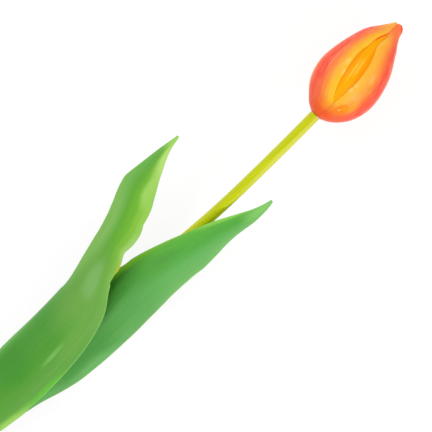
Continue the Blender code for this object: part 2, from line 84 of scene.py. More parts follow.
# Table and light: white paper in a white tent, with a soft box on each side. None of it is part of the
# flower. To the eye and mirrored, paper and tent are white; the paper keeps the flower's soft shadow.
MM = 0.001
PAPER_WHITE = "e8e8e8"
LAMP_WHITE = "ffffff"
TENT_LIGHT = 0.62  # radiance that the tent sheds on the flower
PAPER_SHADE = 0.16  # how much of the light on the paper shows, so how deep its shadow is
PAPER_GLOW = 0.87
PAPER_GRAIN = MM / 0.9
PAPER_DROP = 0.2 * MM  # how far the paper lies under the CAD model, whose stem is thinner
PAPER_REACH = 6.0
LIT_POINT = (0, 0.25, 0)
TABLE_MIDDLE = 0.2
SOFT_BOXES = {  # where each stands, its watts and how wide it is
    "left": ((-1.35, 0.35, 1.15), 13.0, 1.4),
    "right": ((1.45, 0.1, 0.95), 12.0, 0.28),
}


def linear(colour):
    """A written sRGB hex colour as the linear colour that Blender's sockets take."""
    channels = [int(colour[i : i + 2], 16) / 255 for i in (0, 2, 4)]
    return [*(c / 12.92 if c <= 0.04045 else ((c + 0.055) / 1.055) ** 2.4 for c in channels), 1.0]


def connect(tree, node, inputs):
    """Sets a node's inputs. Each takes a value, another node (its first output in use) or a socket."""
    for name, value in inputs.items():
        if isinstance(value, bpy.types.Node):
            value = next(output for output in value.outputs if output.enabled)
        if isinstance(value, bpy.types.NodeSocket):
            tree.links.new(value, node.inputs[name])
        else:
            node.inputs[name].default_value = value


def add(tree, kind, inputs, **settings):
    """Adds a node with its settings and its inputs."""
    node = tree.nodes.new("ShaderNode" + kind)
    for name, value in settings.items():
        setattr(node, name, value)
    connect(tree, node, inputs)
    return node


def graded(tree, value, stops):
    """The colour that a value has among colour stops."""
    node = add(tree, "ValToRGB", {"Fac": value})
    for at, _ in stops[2:]:
        node.color_ramp.elements.new(at)
    for element, (at, colour) in zip(node.color_ramp.elements, stops):
        element.position = at
        element.color = linear(colour)
    return node


def stretched(tree, value, given=(0.0, 1.0), made=(0.0, 1.0), curve="LINEAR"):
    """A value stretched from one span to another, and held at its ends."""
    ends = {"From Min": given[0], "From Max": given[1], "To Min": made[0], "To Max": made[1]}
    return add(tree, "MapRange", {"Value": value, **ends}, interpolation_type=curve)


def seen_apart(tree, shed, shown, output):
    """Ends a shader tree: it looks like the second shader and sheds light like the first."""
    path = add(tree, "LightPath", {})
    rays = {0: path.outputs["Is Glossy Ray"], 1: path.outputs["Is Transmission Ray"]}
    mirrored = add(tree, "Math", rays, operation="MAXIMUM")
    direct = add(tree, "Math", {0: path.outputs["Is Camera Ray"], 1: mirrored}, operation="MAXIMUM")
    add(tree, output, {"Surface": add(tree, "MixShader", {0: direct, 1: shed, 2: shown})})


tent = bpy.data.worlds.new("white_tent")
tent.use_nodes = True
tree = tent.node_tree
tree.nodes.clear()
shed = add(tree, "Background", {"Color": linear(LAMP_WHITE), "Strength": TENT_LIGHT})
shown = add(tree, "Background", {"Color": linear(LAMP_WHITE), "Strength": 1.0})
seen_apart(tree, shed, shown, "OutputWorld")
bpy.context.scene.world = tent

for side, (stand, watts, size) in SOFT_BOXES.items():
    soft_box = bpy.data.lights.new(f"soft_box_{side}", "AREA")
    soft_box.energy = watts
    soft_box.size = size
    lamp = put(soft_box)
    lamp.location = stand
    lamp.rotation_euler = (Vector(stand) - Vector(LIT_POINT)).to_track_quat("Z", "Y").to_euler()
    lamp.visible_camera = False

paper = bpy.data.materials.new("paper_white_uncoated")
paper.use_nodes = True
tree = paper.node_tree
tree.nodes.clear()
grain = add(tree, "TexNoise", {"Scale": 1 / PAPER_GRAIN, "Detail": 3.0})
felt = add(tree, "Bump", {"Height": grain, "Strength": 0.05, "Distance": 0.05 * MM})
shed = add(tree, "BsdfDiffuse", {"Color": linear(PAPER_WHITE), "Normal": felt})
faint = add(tree, "BsdfDiffuse", {"Color": (PAPER_SHADE, PAPER_SHADE, PAPER_SHADE, 1.0), "Normal": felt})
glow = add(tree, "Emission", {"Color": linear(LAMP_WHITE), "Strength": PAPER_GLOW})
seen_apart(tree, shed, add(tree, "AddShader", {0: faint, 1: glow}), "OutputMaterial")

bm = bmesh.new()
bmesh.ops.create_grid(bm, x_segments=8, y_segments=8, size=PAPER_REACH)
sheet = bpy.data.meshes.new("table_paper")
bm.to_mesh(sheet)
bm.free()
sheet.materials.append(paper)
table = put(sheet)
table.location = (0, TABLE_MIDDLE, cad_box[0][2] - PAPER_DROP)


# Stem: one polyethylene tube, injection moulded over a straightened steel wire and cut off square. It is
# straight up to a gentle bend below the bud, with hardly felt flutes and a mould line on each side.
NECK_HEIGHT = 350.0 * MM
STEM_RADIUS = 2.88 * MM
STEM_BORE = 1.2 * MM
WIRE_RADIUS = 0.9 * MM
WIRE_LENGTH = 342.45 * MM
BEND_LENGTH = 82.0 * MM
BEND_ANGLE = math.radians(4.5)
BOW = 0.54 * MM  # how far the stem has bowed to the right above its leaves
BOW_MIDDLE = 278.0 * MM
BOW_REACH = 34.0 * MM
BUD_RADIUS = 18.1 * MM
BUD_HEIGHT = 63.0 * MM
BELLY_SHARE = 0.365
PETAL_LAP = 1.1 * MM
CAD_STEM_RADIUS = 2.65 * MM
TUBE_END = NECK_HEIGHT - 1.5 * MM
CUT_CHAMFER = 0.2 * MM
FLUTES = 7
FLUTE_DEPTH = 0.012 * MM
FLUTE_TWIST = 9.0  # radians for each metre
SEAM_HEIGHT = 0.02 * MM
SEAM_SHARPNESS = 60
STEM_SIDES = 72
STRAIGHT_ROWS = 60
BEND_ROWS = 30
CREASE_ANGLE = math.radians(50)  # steeper edges stay sharp
LIMES = [(0.25, "bcc600"), (0.52, "c6cf00"), (0.8, "cfd606")]
# painted light: the pale lime of the painted reflection and painted highlight on the stem's flanks
LIME_PAINTED_LIGHT = "dcdc58"
LIME_OCHRE = "d2c800"
STREAK = (MM / 0.7, MM / 0.009, MM / 0.7)  # its width, length and depth
# the right flank's pale lime is a painted highlight
PALE_RISE = (0.29, 0.312)  # heights between which the right flank turns pale,
OCHRE_FALL = (0.27, 0.15)  # and between which the stem turns to ochre

belly = BUD_RADIUS - PETAL_LAP / 2
tilt = math.atan((belly - CAD_STEM_RADIUS) / (NECK_HEIGHT + BUD_HEIGHT * BELLY_SHARE))
laid_down = Matrix.Rotation(tilt - math.pi / 2, 4, "X")
UP = Vector((0, 0, 1))  # along the stem, while it stands upright
straight = NECK_HEIGHT - BEND_LENGTH


def stem_point(distance):
    """The point of the stem's centreline at a distance from its foot, while it stands upright."""
    bowed = BOW * math.exp(-(((distance - BOW_MIDDLE) / BOW_REACH) ** 2))
    if distance <= straight:
        return Vector((bowed, 0, distance))
    radius = BEND_LENGTH / BEND_ANGLE
    turn = (distance - straight) / radius
    return Vector((bowed - radius * (1 - math.cos(turn)), 0, straight + radius * math.sin(turn)))


def directions(path):
    """The direction of a path at each of its points."""
    ends = [path[0], *path, path[-1]]
    return [(after - before).normalized() for before, after in zip(ends, ends[2:])]


def angles_round(sides):
    """The angles of points spread evenly round a ring."""
    return [math.tau * i / sides for i in range(sides)]


def ring_round(centre, along, reaches):
    """A ring of points round a path, square to it, at the given distances from it."""
    turn = UP.rotation_difference(along).to_matrix()
    placed = zip(reaches, angles_round(len(reaches)))
    return [centre + turn @ Vector((r * math.cos(a), r * math.sin(a), 0)) for r, a in placed]


def loops_to_mesh(name, loops, closed, where):
    """A body from rings of equally many points: closed to a torus, or with a cap over each end."""
    bm = bmesh.new()
    rings = [[bm.verts.new(where @ point) for point in loop] for loop in loops]
    for near, far in zip(rings, rings[1:] + (rings[:1] if closed else [])):
        for i in range(len(near)):
            j = (i + 1) % len(near)
            bm.faces.new((near[i], near[j], far[j], far[i]))
    if not closed:
        bm.faces.new(rings[0])
        bm.faces.new(rings[-1])
    bmesh.ops.recalc_face_normals(bm, faces=bm.faces)
    mesh = bpy.data.meshes.new(name)
    bm.to_mesh(mesh)
    bm.free()
    mesh.shade_smooth()
    mesh.set_sharp_from_angle(angle=CREASE_ANGLE)
    return mesh


def mark_sideways(mesh, sides):
    """Stores how far to the right a round body's points lie, from -1 on its left flank to 1."""
    values = [math.cos(math.tau * i / sides) for i in range(len(mesh.vertices))]
    mesh.attributes.new("sideways", "FLOAT", "POINT").data.foreach_set("value", values)


def place(mesh, finish, body, node):
    """A new piece on its body, with the finish of its slot, in place of a CAD node."""
    mesh.materials.append(finish)
    piece = put(mesh)
    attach(piece, body)
    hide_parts(node)


def start_finish(name, ior=1.5, gloss=0.5, let_through=0.0, **others):
    """A material with its shader, whose uniform values are set on the shader's own sockets."""
    finish = bpy.data.materials.new(name)
    finish.use_nodes = True
    tree = finish.node_tree
    shader = tree.nodes["Principled BSDF"]
    connect(tree, shader, {"IOR": ior, "Specular IOR Level": gloss, **others})
    connect(tree, shader, {"Subsurface Weight": let_through, "Subsurface Scale": 1.0 * MM})
    return finish, tree, shader


def streaks_along(tree, where, scale, detail, roughness=0.5, shift=(0.0, 0.0, 0.0)):
    """A soft pattern of streaks, drawn out in one direction by a scale for each axis."""
    drawn = add(tree, "Mapping", {"Vector": where, "Scale": scale, "Location": shift})
    return add(tree, "TexNoise", {"Vector": drawn, "Scale": 1.0, "Detail": detail, "Roughness": roughness})


def coated(tree, colour, coats):
    """A colour with coats laid over it: for each, the mask that lets it through and its tint."""
    for mask, tint in coats:
        colour = add(tree, "Mix", {0: mask, 6: colour, 7: linear(tint)}, data_type="RGBA")
    return colour


def skinned(tree, shader, colour, pattern, dull, strength, depth, relief=None):
    """Gives a shader its colour, a roughness that a pattern varies, and a relief from it or its own."""
    rough = stretched(tree, pattern, made=dull)
    bump = add(tree, "Bump", {"Height": relief or pattern, "Strength": strength, "Distance": depth})
    connect(tree, shader, {"Base Color": colour, "Roughness": rough, "Normal": bump})


# Injection-moulded polyethylene, dyed lime in the mass: waxy, satin, and lightly let through by light.
# The plastic's flow leaves faint lengthwise streaks of olive. Paler lime is painted light on the stem: a
# painted reflection down the left flank, and a painted highlight from the neck half-way down the right one.
# The lower end has yellowed to ochre.
finish_name = "polyethylene_moulded_lime"
lime_plastic, tree, shader = start_finish(finish_name, ior=1.51, gloss=0.1, let_through=0.08)
shader.inputs["Subsurface Radius"].default_value = (1.0, 1.0, 0.2)
spot = add(tree, "TexCoord", {}).outputs["Object"]
streaks = streaks_along(tree, spot, [1 / size for size in STREAK], detail=1.0)
streaky = graded(tree, streaks, LIMES)
sideways = add(tree, "Attribute", {}, attribute_name="sideways").outputs["Fac"]
wander = stretched(tree, streaks, made=(-0.12, 0.12))
flank = add(tree, "Math", {0: sideways, 1: wander}, operation="ADD")
# painted reflection down the left flank, and painted highlight high up on the right flank
left_painted_reflection = stretched(tree, flank, (-0.45, -1.0), (0.0, 0.6))
height = add(tree, "SeparateXYZ", {"Vector": spot}).outputs["Y"]
high_up = stretched(tree, height, PALE_RISE)
on_right = stretched(tree, flank, (0.1, 0.5), (0.0, 0.85))
right_painted_highlight = add(tree, "Math", {0: high_up, 1: on_right}, operation="MULTIPLY")
aged = stretched(tree, height, OCHRE_FALL)
colour = coated(tree, streaky, [(left_painted_reflection, LIME_PAINTED_LIGHT), (right_painted_highlight, LIME_PAINTED_LIGHT), (aged, LIME_OCHRE)])
fine = streaks_along(tree, spot, [3 / size for size in STREAK], detail=2.0)
skinned(tree, shader, colour, streaks, dull=(0.17, 0.25), relief=fine, strength=0.1, depth=0.03 * MM)

stops_at = [0, 2 * CUT_CHAMFER]
stops_at += [straight * i / STRAIGHT_ROWS for i in range(1, STRAIGHT_ROWS + 1)]
stops_at += [straight + (TUBE_END - straight) * i / BEND_ROWS for i in range(1, BEND_ROWS + 1)]
path = [stem_point(distance) for distance in stops_at]
outer_rings, inner_rings = [], []
for distance, centre, along in zip(stops_at, path, directions(path)):
    reaches = []
    for angle in angles_round(STEM_SIDES):
        flute = FLUTE_DEPTH * math.cos(FLUTES * angle + FLUTE_TWIST * distance)
        seam = SEAM_HEIGHT * max(math.cos(2 * angle), 0) ** SEAM_SHARPNESS
        reaches.append(STEM_RADIUS + flute + seam - (0 if distance else CUT_CHAMFER))
    outer_rings.append(ring_round(centre, along, reaches))
    inner_rings.append(ring_round(centre, along, [STEM_BORE] * STEM_SIDES))
tube = loops_to_mesh("stem_tube_moulded", outer_rings + inner_rings[::-1], True, laid_down)
mark_sideways(tube, STEM_SIDES)
place(tube, lime_plastic, "stem", "stem_tube")

# Galvanised steel wire, drawn and then dipped in zinc: a grey metal with fine drawing lines along it.
zinc_wire, tree, shader = start_finish("steel_galvanised_drawn", Metallic=1.0)
DRAWING_LINE = (MM / 3, MM / 0.06, MM / 3)  # coarser than on the real wire, so that they show
spot = add(tree, "TexCoord", {}).outputs["Object"]
lines = streaks_along(tree, spot, [1 / size for size in DRAWING_LINE], detail=3.0)
zinc = graded(tree, lines, [(0.3, "8d9193"), (0.7, "b9bdbf")])
dull = stretched(tree, lines, made=(0.32, 0.5))
connect(tree, shader, {"Base Color": zinc, "Roughness": dull})


def round_rod(name, path, radii, where, sides=20, lobes=0, swell=0.0):
    """A rod round a path, with a radius for each of its points and as many lobes as it says."""
    shape = [1 + swell * math.cos(lobes * angle) for angle in angles_round(sides)]
    placed = zip(path, directions(path), radii)
    loops = [ring_round(point, along, [radius * part for part in shape]) for point, along, radius in placed]
    return loops_to_mesh(name, loops, False, where)


CUT_BEVEL = 0.15 * MM
stops_at = [0, CUT_BEVEL, *[WIRE_LENGTH * i / STRAIGHT_ROWS for i in range(1, STRAIGHT_ROWS)]]
stops_at += [WIRE_LENGTH - CUT_BEVEL, WIRE_LENGTH]
radii = [WIRE_RADIUS - CUT_BEVEL, *[WIRE_RADIUS] * (len(stops_at) - 2), WIRE_RADIUS - CUT_BEVEL]
wire = round_rod("stem_core_wire_drawn", [stem_point(at) for at in stops_at], radii, laid_down)
place(wire, zinc_wire, "stem", "stem_core_wire")


# Neck peg: a moulded plug of the stem's plastic, pressed into the top of the tube. Its collar carries on
# the stem's line up to the bud, and its barbed pin holds the bud so that it can turn.
COLLAR_RADIUS = 2.9 * MM
COLLAR_FOOT = -1.48 * MM
COLLAR_TOP = -0.12 * MM
SPIGOT_RADIUS = 0.85 * MM
SPIGOT_FOOT = -7.2 * MM
PEG_RADIUS = 1.25 * MM
PEG_LENGTH = 11.0 * MM
BARB_HEIGHT = 0.25 * MM
BARB_PITCH = 3.0 * MM
FINE_ROUNDING = 0.12 * MM
AXIS = 0.05 * MM  # how near to its axis a turned outline starts

at_neck = Matrix.Translation(stem_point(NECK_HEIGHT))
in_neck = laid_down @ at_neck @ Matrix.Rotation(-BEND_ANGLE, 4, "Y")


def rounded(outline, reach, closed):
    """An outline of (radius, height) points, each of whose corners is rounded over this reach."""
    corners = [Vector(point) for point in outline]
    points = []
    for i, corner in enumerate(corners):
        if not closed and i in (0, len(corners) - 1):
            points.append(corner)
            continue
        before = corners[i - 1] - corner
        after = corners[(i + 1) % len(corners)] - corner
        near = corner + before.normalized() * min(reach, before.length / 2.2)
        far = corner + after.normalized() * min(reach, after.length / 2.2)
        points += [near, near * 0.25 + corner * 0.5 + far * 0.25, far]
    return points


def turned(name, outline, where, rounding, closed=False, sides=48, lobes=0, swells=None):
    """A body turned from an outline, with rounded corners; a swell gives it lobes at a height."""
    loops = []
    for reach, height in rounded(outline, rounding, closed):
        swell = swells(height) if swells else 0.0
        reaches = [reach * (1 + swell * math.cos(lobes * angle)) for angle in angles_round(sides)]
        loops.append(ring_round(UP * height, UP, reaches))
    return loops_to_mesh(name, loops, closed, where)


outline = [(AXIS, SPIGOT_FOOT), (SPIGOT_RADIUS, SPIGOT_FOOT), (SPIGOT_RADIUS, COLLAR_FOOT)]
outline += [(COLLAR_RADIUS, COLLAR_FOOT), (COLLAR_RADIUS, COLLAR_TOP), (PEG_RADIUS, COLLAR_TOP)]
for barb in (2, 1):
    foot = PEG_LENGTH - BARB_PITCH * barb
    outline += [(PEG_RADIUS, foot), (PEG_RADIUS + BARB_HEIGHT, foot)]
    outline.append((PEG_RADIUS, foot + BARB_PITCH / 2))
outline += [(PEG_RADIUS, PEG_LENGTH - BARB_HEIGHT), (PEG_RADIUS - BARB_HEIGHT, PEG_LENGTH)]
outline.append((AXIS, PEG_LENGTH))
peg = turned("neck_peg_moulded", outline, in_neck, FINE_ROUNDING, sides=STEM_SIDES)
mark_sideways(peg, STEM_SIDES)
place(peg, lime_plastic, "neck_peg", "neck_peg")


# Heart of the flower: the receptacle that carries the petals on the peg, the pistil pinned on it and six
# stamens round it, small mouldings that the closed bud hides but for a glimpse between its tips.
SEAT_GAP = 0.3 * MM
SOCKET_RADIUS = 1.85 * MM
SOCKET_TOP = 11.6 * MM
RECEPTACLE_HEIGHT = 14.0 * MM
OVARY_FOOT_RADIUS = 1.85 * MM
PIN_RADIUS = 0.6 * MM
PIN_LENGTH = 0.9 * MM
STIGMA_SWELL = 0.3
STIGMA_FOOT = 13.5 * MM  # over the ovary's foot
STIGMA_RISE = 2.0 * MM
PISTIL_ROUNDING = 0.6 * MM
MILK_CLOUD = 2.5 * MM
POLLEN_GRAIN = 0.4 * MM  # coarser than pollen, so that it shows
STAMEN_COUNT = 6
STAMEN_SPREAD = math.radians(18.0)
FILAMENT_RADIUS = 0.4 * MM
FILAMENT_LENGTH = 10.0 * MM
ANTHER_RADIUS = 1.1 * MM
ANTHER_LENGTH = 9.0 * MM
STAMEN_ROWS = 12
FILAMENT_TAPER = 0.25
ANTHER_BLUNTNESS = 0.6
ANTHER_END = 0.15  # share of its radius that its ends have

pin_hole = PIN_RADIUS + SEAT_GAP
hole_foot = RECEPTACLE_HEIGHT - PIN_LENGTH - SEAT_GAP
# The receptacle's outside in millimetres: its radius and height, from its collar up to its flat top.
RECEPTACLE = [(2.3, 0.3), (2.3, 2.8), (3.0, 3.8), (4.4, 5.2), (4.4, 9.0), (3.5, 14.0)]
outline = [(AXIS, SOCKET_TOP), (SOCKET_RADIUS, SOCKET_TOP), (SOCKET_RADIUS, SEAT_GAP)]
outline += [(radius * MM, height * MM) for radius, height in RECEPTACLE]
outline += [(pin_hole, RECEPTACLE_HEIGHT), (pin_hole, hole_foot), (AXIS, hole_foot)]
receptacle = turned("receptacle_moulded", outline, in_neck, FINE_ROUNDING)
place(receptacle, lime_plastic, "bud", "receptacle")

# Injection-moulded polyethylene, pale and milky: smooth, with a soft gloss.
finish_name = "polyethylene_moulded_pale_yellow"
milky_plastic, tree, shader = start_finish(finish_name, ior=1.51, gloss=0.3, let_through=0.15)
spot = add(tree, "TexCoord", {}).outputs["Object"]
cloud = add(tree, "TexNoise", {"Vector": spot, "Scale": 1 / MILK_CLOUD, "Detail": 3.0})
milk = graded(tree, cloud, [(0.3, "d5cf78"), (0.7, "e8e3a4")])
skinned(tree, shader, milk, cloud, dull=(0.4, 0.6), strength=0.3, depth=0.05 * MM)

# The pistil's radius and height over its foot in millimetres, from its pin to the stigma's three lobes.
ovary_foot = RECEPTACLE_HEIGHT + SEAT_GAP
PISTIL = [
    (1.85, 0.0), (2.1, 2.5), (2.3, 6.0), (2.2, 9.5), (1.95, 12.0), (1.45, 14.6), (1.75, 15.4), (2.4, 16.2),
    (2.3, 17.2), (1.6, 17.8), (0.3, 18.0),
]
pin_foot = ovary_foot - PIN_LENGTH
outline = [(AXIS, pin_foot), (PIN_RADIUS, pin_foot), (PIN_RADIUS, ovary_foot)]
outline += [(radius * MM, ovary_foot + height * MM) for radius, height in PISTIL]


def stigma_swell(height):
    """How far the three lobes stand out at a height: not on the ovary, fully on the stigma."""
    return STIGMA_SWELL * min(max((height - ovary_foot - STIGMA_FOOT) / STIGMA_RISE, 0.0), 1.0)


pistil = turned("pistil_moulded", outline, in_neck, PISTIL_ROUNDING, lobes=3, swells=stigma_swell)
place(pistil, milky_plastic, "bud", "pistil")

# Flock-like coating that the anthers are dipped in, for the look of pollen: dark, matt and grainy.
pollen_dip, tree, shader = start_finish("dip_coating_pollen_brown")
spot = add(tree, "TexCoord", {}).outputs["Object"]
grains = add(tree, "TexVoronoi", {"Vector": spot, "Scale": 1 / POLLEN_GRAIN})
brown = graded(tree, grains, [(0.1, "5c3a26"), (0.6, "2e1a10")])
skinned(tree, shader, brown, grains, dull=(0.75, 0.95), strength=0.8, depth=0.15 * MM)

ring_radius = OVARY_FOOT_RADIUS + SEAT_GAP + FILAMENT_RADIUS
foot_height = RECEPTACLE_HEIGHT + SEAT_GAP + FILAMENT_RADIUS * math.sin(STAMEN_SPREAD)
shares = [row / STAMEN_ROWS for row in range(STAMEN_ROWS + 1)]
for i in range(STAMEN_COUNT):
    angle = math.tau * (i + 0.5) / STAMEN_COUNT
    outwards = Vector((math.cos(angle), math.sin(angle), 0))
    foot = outwards * ring_radius + UP * foot_height
    along = outwards * math.sin(STAMEN_SPREAD) + UP * math.cos(STAMEN_SPREAD)
    path = [foot + along * FILAMENT_LENGTH * share for share in shares]
    radii = [FILAMENT_RADIUS * (1 - FILAMENT_TAPER * share) for share in shares]
    filament = round_rod(f"filament_{i + 1}_moulded", path, radii, in_neck)
    place(filament, milky_plastic, "bud", f"filament_{i + 1}")
    start = foot + along * (FILAMENT_LENGTH + SEAT_GAP)
    path = [start + along * ANTHER_LENGTH * (1 - math.cos(math.pi * share)) / 2 for share in shares]
    bulges = [max(math.sin(math.pi * share) ** ANTHER_BLUNTNESS, ANTHER_END) for share in shares]
    radii = [ANTHER_RADIUS * bulge for bulge in bulges]
    anther = round_rod(f"anther_{i + 1}_dipped", path, radii, in_neck, sides=32, lobes=4, swell=0.12)
    place(anther, pollen_dip, "bud", f"anther_{i + 1}")


# Inner petals: three thin sheets of soft polyurethane, glued round the receptacle inside the outer three.
# The front one swells up into the cleft of the bud, where it shows as an amber strip with two pale strokes,
# which are painted highlights.
PETAL_THICKNESS = 0.7 * MM
RIM_THICKNESS = 0.26 * MM
PETAL_GAP = 0.45 * MM
PETAL_FOOT = 0.8 * MM
PETAL_PITCH = 120.0
TIP_HEIGHT = 7.0 * MM
TIP_ANGLE = 8.0
INNER_TOP = BUD_HEIGHT - 7.0 * MM
INNER_HALF_ANGLE = 56.0
RAISED_FROM = (5.0 * MM, 10.0 * MM)  # heights between which the front petal rises into the cleft,
RAISED_TO = (54.5 * MM, 56.0 * MM)  # and between which it sinks back
UNDER_MARGIN = (8.0, 30.0)  # how many degrees beyond the cleft it starts to sink, and has sunk
PETAL_RIM = 0.05  # share of a petal's half width that its rim rounds off,
PETAL_THINNING = 0.2  # and share of it over which it thins towards the margin
FOLD_DEPTH = 0.06 * MM
FOLDS = 44  # radians of folds to a petal's half width
PETAL_ROWS = 80
PETAL_COLUMNS = 46
CLEFT_LEFT_INSET = 0.93 * MM  # how deep the front petal lies under the left petal's margin,
CLEFT_RIGHT_INSET = 1.38 * MM  # and under the right petal's margin,
CLEFT_SWELL = 0.3 * MM  # and how far it swells up between them
ROOF_TOP = BUD_HEIGHT - 2.2 * MM  # how high the other two petals reach, to close the bud under its tips,
ROOF_FOOT = 47.0 * MM  # where they start to lean in,
ROOF_CLOSING = 0.85  # what share of the way to the middle their tips go,
ROOF_FORWARD = 1.8 * MM  # and how far in front of the axis they meet

# The bud's profile as it rises, in percent: its height, of the bud's; its radius and how far it leans to
# the left, of the bud's radius; and how many degrees the petals' seams have turned to the right.
BUD_RAILS = [
    (0, 15.6, 0, 6.0), (3.2, 38.9, -0.5, 6.0), (8, 59.9, -1.3, 5.0), (16, 81.7, -0.3, 4.0),
    (25.4, 94.9, 0.6, 2.0), (36.5, 100.4, 1.7, 0.0), (49.2, 95.4, 2.9, -3.5), (63.5, 81.3, 6.0, -7.5),
    (79.4, 55.2, 12.3, -8.5), (88.9, 32.0, 12.3, 0.0), (95.2, 20.9, 8.4, 6.0), (100, 16.0, 5.2, 9.0),
]

# The cleft as it rises: its height in percent of the bud's; how many degrees from the front to the right
# the left petal's margin stands, and the right petal's, which slips under it below and above the cleft.
CLEFT_RAILS = [
    (0, 4.5, -4.0), (10, 5.0, -2.0), (15, 4.0, 5.4), (18.3, -1.8, 6.9),
    (23, -6.5, 8.3), (27, -9.0, 9.5), (31, -10.8, 10.2), (39, -12.4, 13.1),
    (48.5, -14.0, 15.2), (55.5, -13.9, 16.2), (62, -11.8, 15.0), (67.6, -8.2, 11.5),
    (72.2, -6.0, 8.3), (77.1, -1.6, 9.8), (80, 1.8, 13.0), (83.3, 3.6, 12.2),
    (86.8, 3.4, 0.5), (88.9, -1.0, -11.0), (92, -10.0, -20.0), (95.2, -20.0, -28.0),
    (98, -36.0, -30.0), (100, -46.0, -30.0),
]


def slopes_at(rails, at, i):
    """How fast each value changes at a rail: not at all where it turns back or starts to rest."""
    low, high = max(i - 1, 0), min(i + 1, len(at) - 1)
    slopes = []
    for before, here, after in zip(rails[low], rails[i], rails[high]):
        resting = low < i < high and (here - before) * (after - here) <= 0
        slopes.append(0.0 if resting else (after - before) / (at[high] - at[low]))
    return slopes


def along_rails(rails, spot, at=None):
    """The values at a spot on a smooth curve through rails, each of which stands at its first value."""
    at = at or [rail[0] for rail in rails]
    i = min(max(j for j in range(len(at)) if j == 0 or at[j] <= spot), len(at) - 2)
    span = at[i + 1] - at[i]
    t = min(max((spot - at[i]) / span, 0.0), 1.0)
    ease = t * t * (3 - 2 * t)
    weights = (1 - ease, t * (1 - t) ** 2 * span, ease, -t * t * (1 - t) * span)
    ends = (rails[i], slopes_at(rails, at, i), rails[i + 1], slopes_at(rails, at, i + 1))
    return [sum(w * c for w, c in zip(weights, corner)) for corner in zip(*ends)]


def bud_rail(height):
    """The bud's radius, lean and turn at a height above the collar."""
    rail = along_rails(BUD_RAILS, 100 * height / BUD_HEIGHT)
    return rail[1] * BUD_RADIUS / 100, rail[2] * BUD_RADIUS / 100, rail[3]


def cleft_margins(height):
    """The angles of the left and of the right petal's margin in the cleft at a height."""
    return along_rails(CLEFT_RAILS, 100 * height / BUD_HEIGHT)[1:]


def bud_point(height, angle, inset):
    """A point of a petal: its height on the profile, its angle from the front to the right, its inset."""
    radius, lean, turn = bud_rail(height)
    step = 0.2 * MM
    slope = (bud_rail(height + step)[0] - bud_rail(height - step)[0]) / (2 * step)
    length = math.hypot(1, slope)
    reach = radius - inset / length
    turn = math.radians(angle + turn)
    rise = inset * slope / length
    return Vector((reach * math.sin(turn) - lean, -reach * math.cos(turn), height + rise))


def ease_in(value, low, high):
    """0 up to low, 1 from high on, and a smooth rise between them."""
    t = min(max((value - low) / (high - low), 0.0), 1.0)
    return t * t * (3 - 2 * t)


def tip_share(height, top, tip_height=TIP_HEIGHT):
    """0 up to the round end of a petal, 1 at its tip."""
    return min(max((height - top + tip_height) / tip_height, 0.0), 1.0)


def rounded_tip(half, height, top, tip_height=TIP_HEIGHT):
    """The half angle of a petal, narrowed to a round end over the last part of its height."""
    return TIP_ANGLE + (half - TIP_ANGLE) * math.sqrt(1 - tip_share(height, top, tip_height) ** 4)


def spread(count, rim):
    """Places from -1 to 1, evenly spread but for two near each end, where a rim is rounded."""
    middle = [(2 * i / (count - 4) - 1) * (1 - rim) for i in range(count - 3)]
    return [-1.0, -1 + rim * 0.3, *middle, 1 - rim * 0.3, 1.0]


def sheet_normals(grid):
    """The outward normals of a grid whose columns run to the right and whose rows rise."""
    normals = []
    for low, row, high in zip([grid[0], *grid], grid, [*grid[1:], grid[-1]]):
        sides = zip([row[0], *row], [*row[1:], row[-1]])
        rises = [above - below for below, above in zip(low, high)]
        normals.append([(right - left).cross(up).normalized() for (left, right), up in zip(sides, rises)])
    return normals


SKIN_LEFT = 0.3  # share of a sheet's thickness that its deepest groove leaves
RIM_LEFT = 0.02  # share of it that is left at the very rim


def moulded_sheet(name, grid, relief, thickness, across, along, where):
    """A closed thin body: an outer face with relief, an inner face, and one rounded rim for both."""
    normals = sheet_normals(grid)
    last_row, last_column = len(grid) - 1, len(grid[0]) - 1
    points, marks, index = [], [], {}
    for side in (0, 1):
        for i, row in enumerate(grid):
            for j, point in enumerate(row):
                on_rim = i in (0, last_row) or j in (0, last_column)
                if on_rim and side:
                    index[i, j, 1] = index[i, j, 0]
                    continue
                depth = thickness(i, j)
                if on_rim:
                    offset = -depth / 2
                else:
                    offset = -depth if side else max(relief(i, j), (SKIN_LEFT - 1) * depth)
                index[i, j, side] = len(points)
                points.append(where @ (point + normals[i][j] * offset))
                marks.append((across[j], along[i]))
    faces = []
    for i in range(last_row):
        for j in range(last_column):
            corners = ((i, j), (i, j + 1), (i + 1, j + 1), (i + 1, j))
            faces.append([index[a, b, 0] for a, b in corners])
            faces.append([index[a, b, 1] for a, b in reversed(corners)])
    mesh = bpy.data.meshes.new(name)
    mesh.from_pydata(points, [], faces)
    for label, values in zip(("across", "along"), zip(*marks)):
        mesh.attributes.new(label, "FLOAT", "POINT").data.foreach_set("value", values)
    mesh.shade_smooth()
    return mesh


def rim_depth(full, distance, rounding):
    """The thickness of a sheet at a distance from its margin, rounded off over its last part."""
    share = min(distance / rounding, 1.0)
    return full * max(math.sqrt(1 - (1 - share) ** 2), RIM_LEFT)


def place_on_sheet(tree):
    """The places across and along a sheet, which its mesh stores, and both as one vector."""
    across = add(tree, "Attribute", {}, attribute_name="across").outputs["Fac"]
    along = add(tree, "Attribute", {}, attribute_name="along").outputs["Fac"]
    return across, along, add(tree, "CombineXYZ", {"X": across, "Y": along})


def touches_on(tree, where, touches):
    """Coats of soft round touches: where each is across and along, how far it reaches, its tint."""
    coats = []
    for middle, reach, tint in touches:
        scale = (1 / reach[0], 1 / reach[1], 1.0)
        shift = (-middle[0] / reach[0], -middle[1] / reach[1], 0.0)
        mapped = add(tree, "Mapping", {"Vector": where, "Scale": scale, "Location": shift})
        ball = add(tree, "TexGradient", {"Vector": mapped}, gradient_type="SPHERICAL")
        coats.append((stretched(tree, ball.outputs["Fac"], (0.0, 0.7), curve="SMOOTHSTEP"), tint))
    return coats
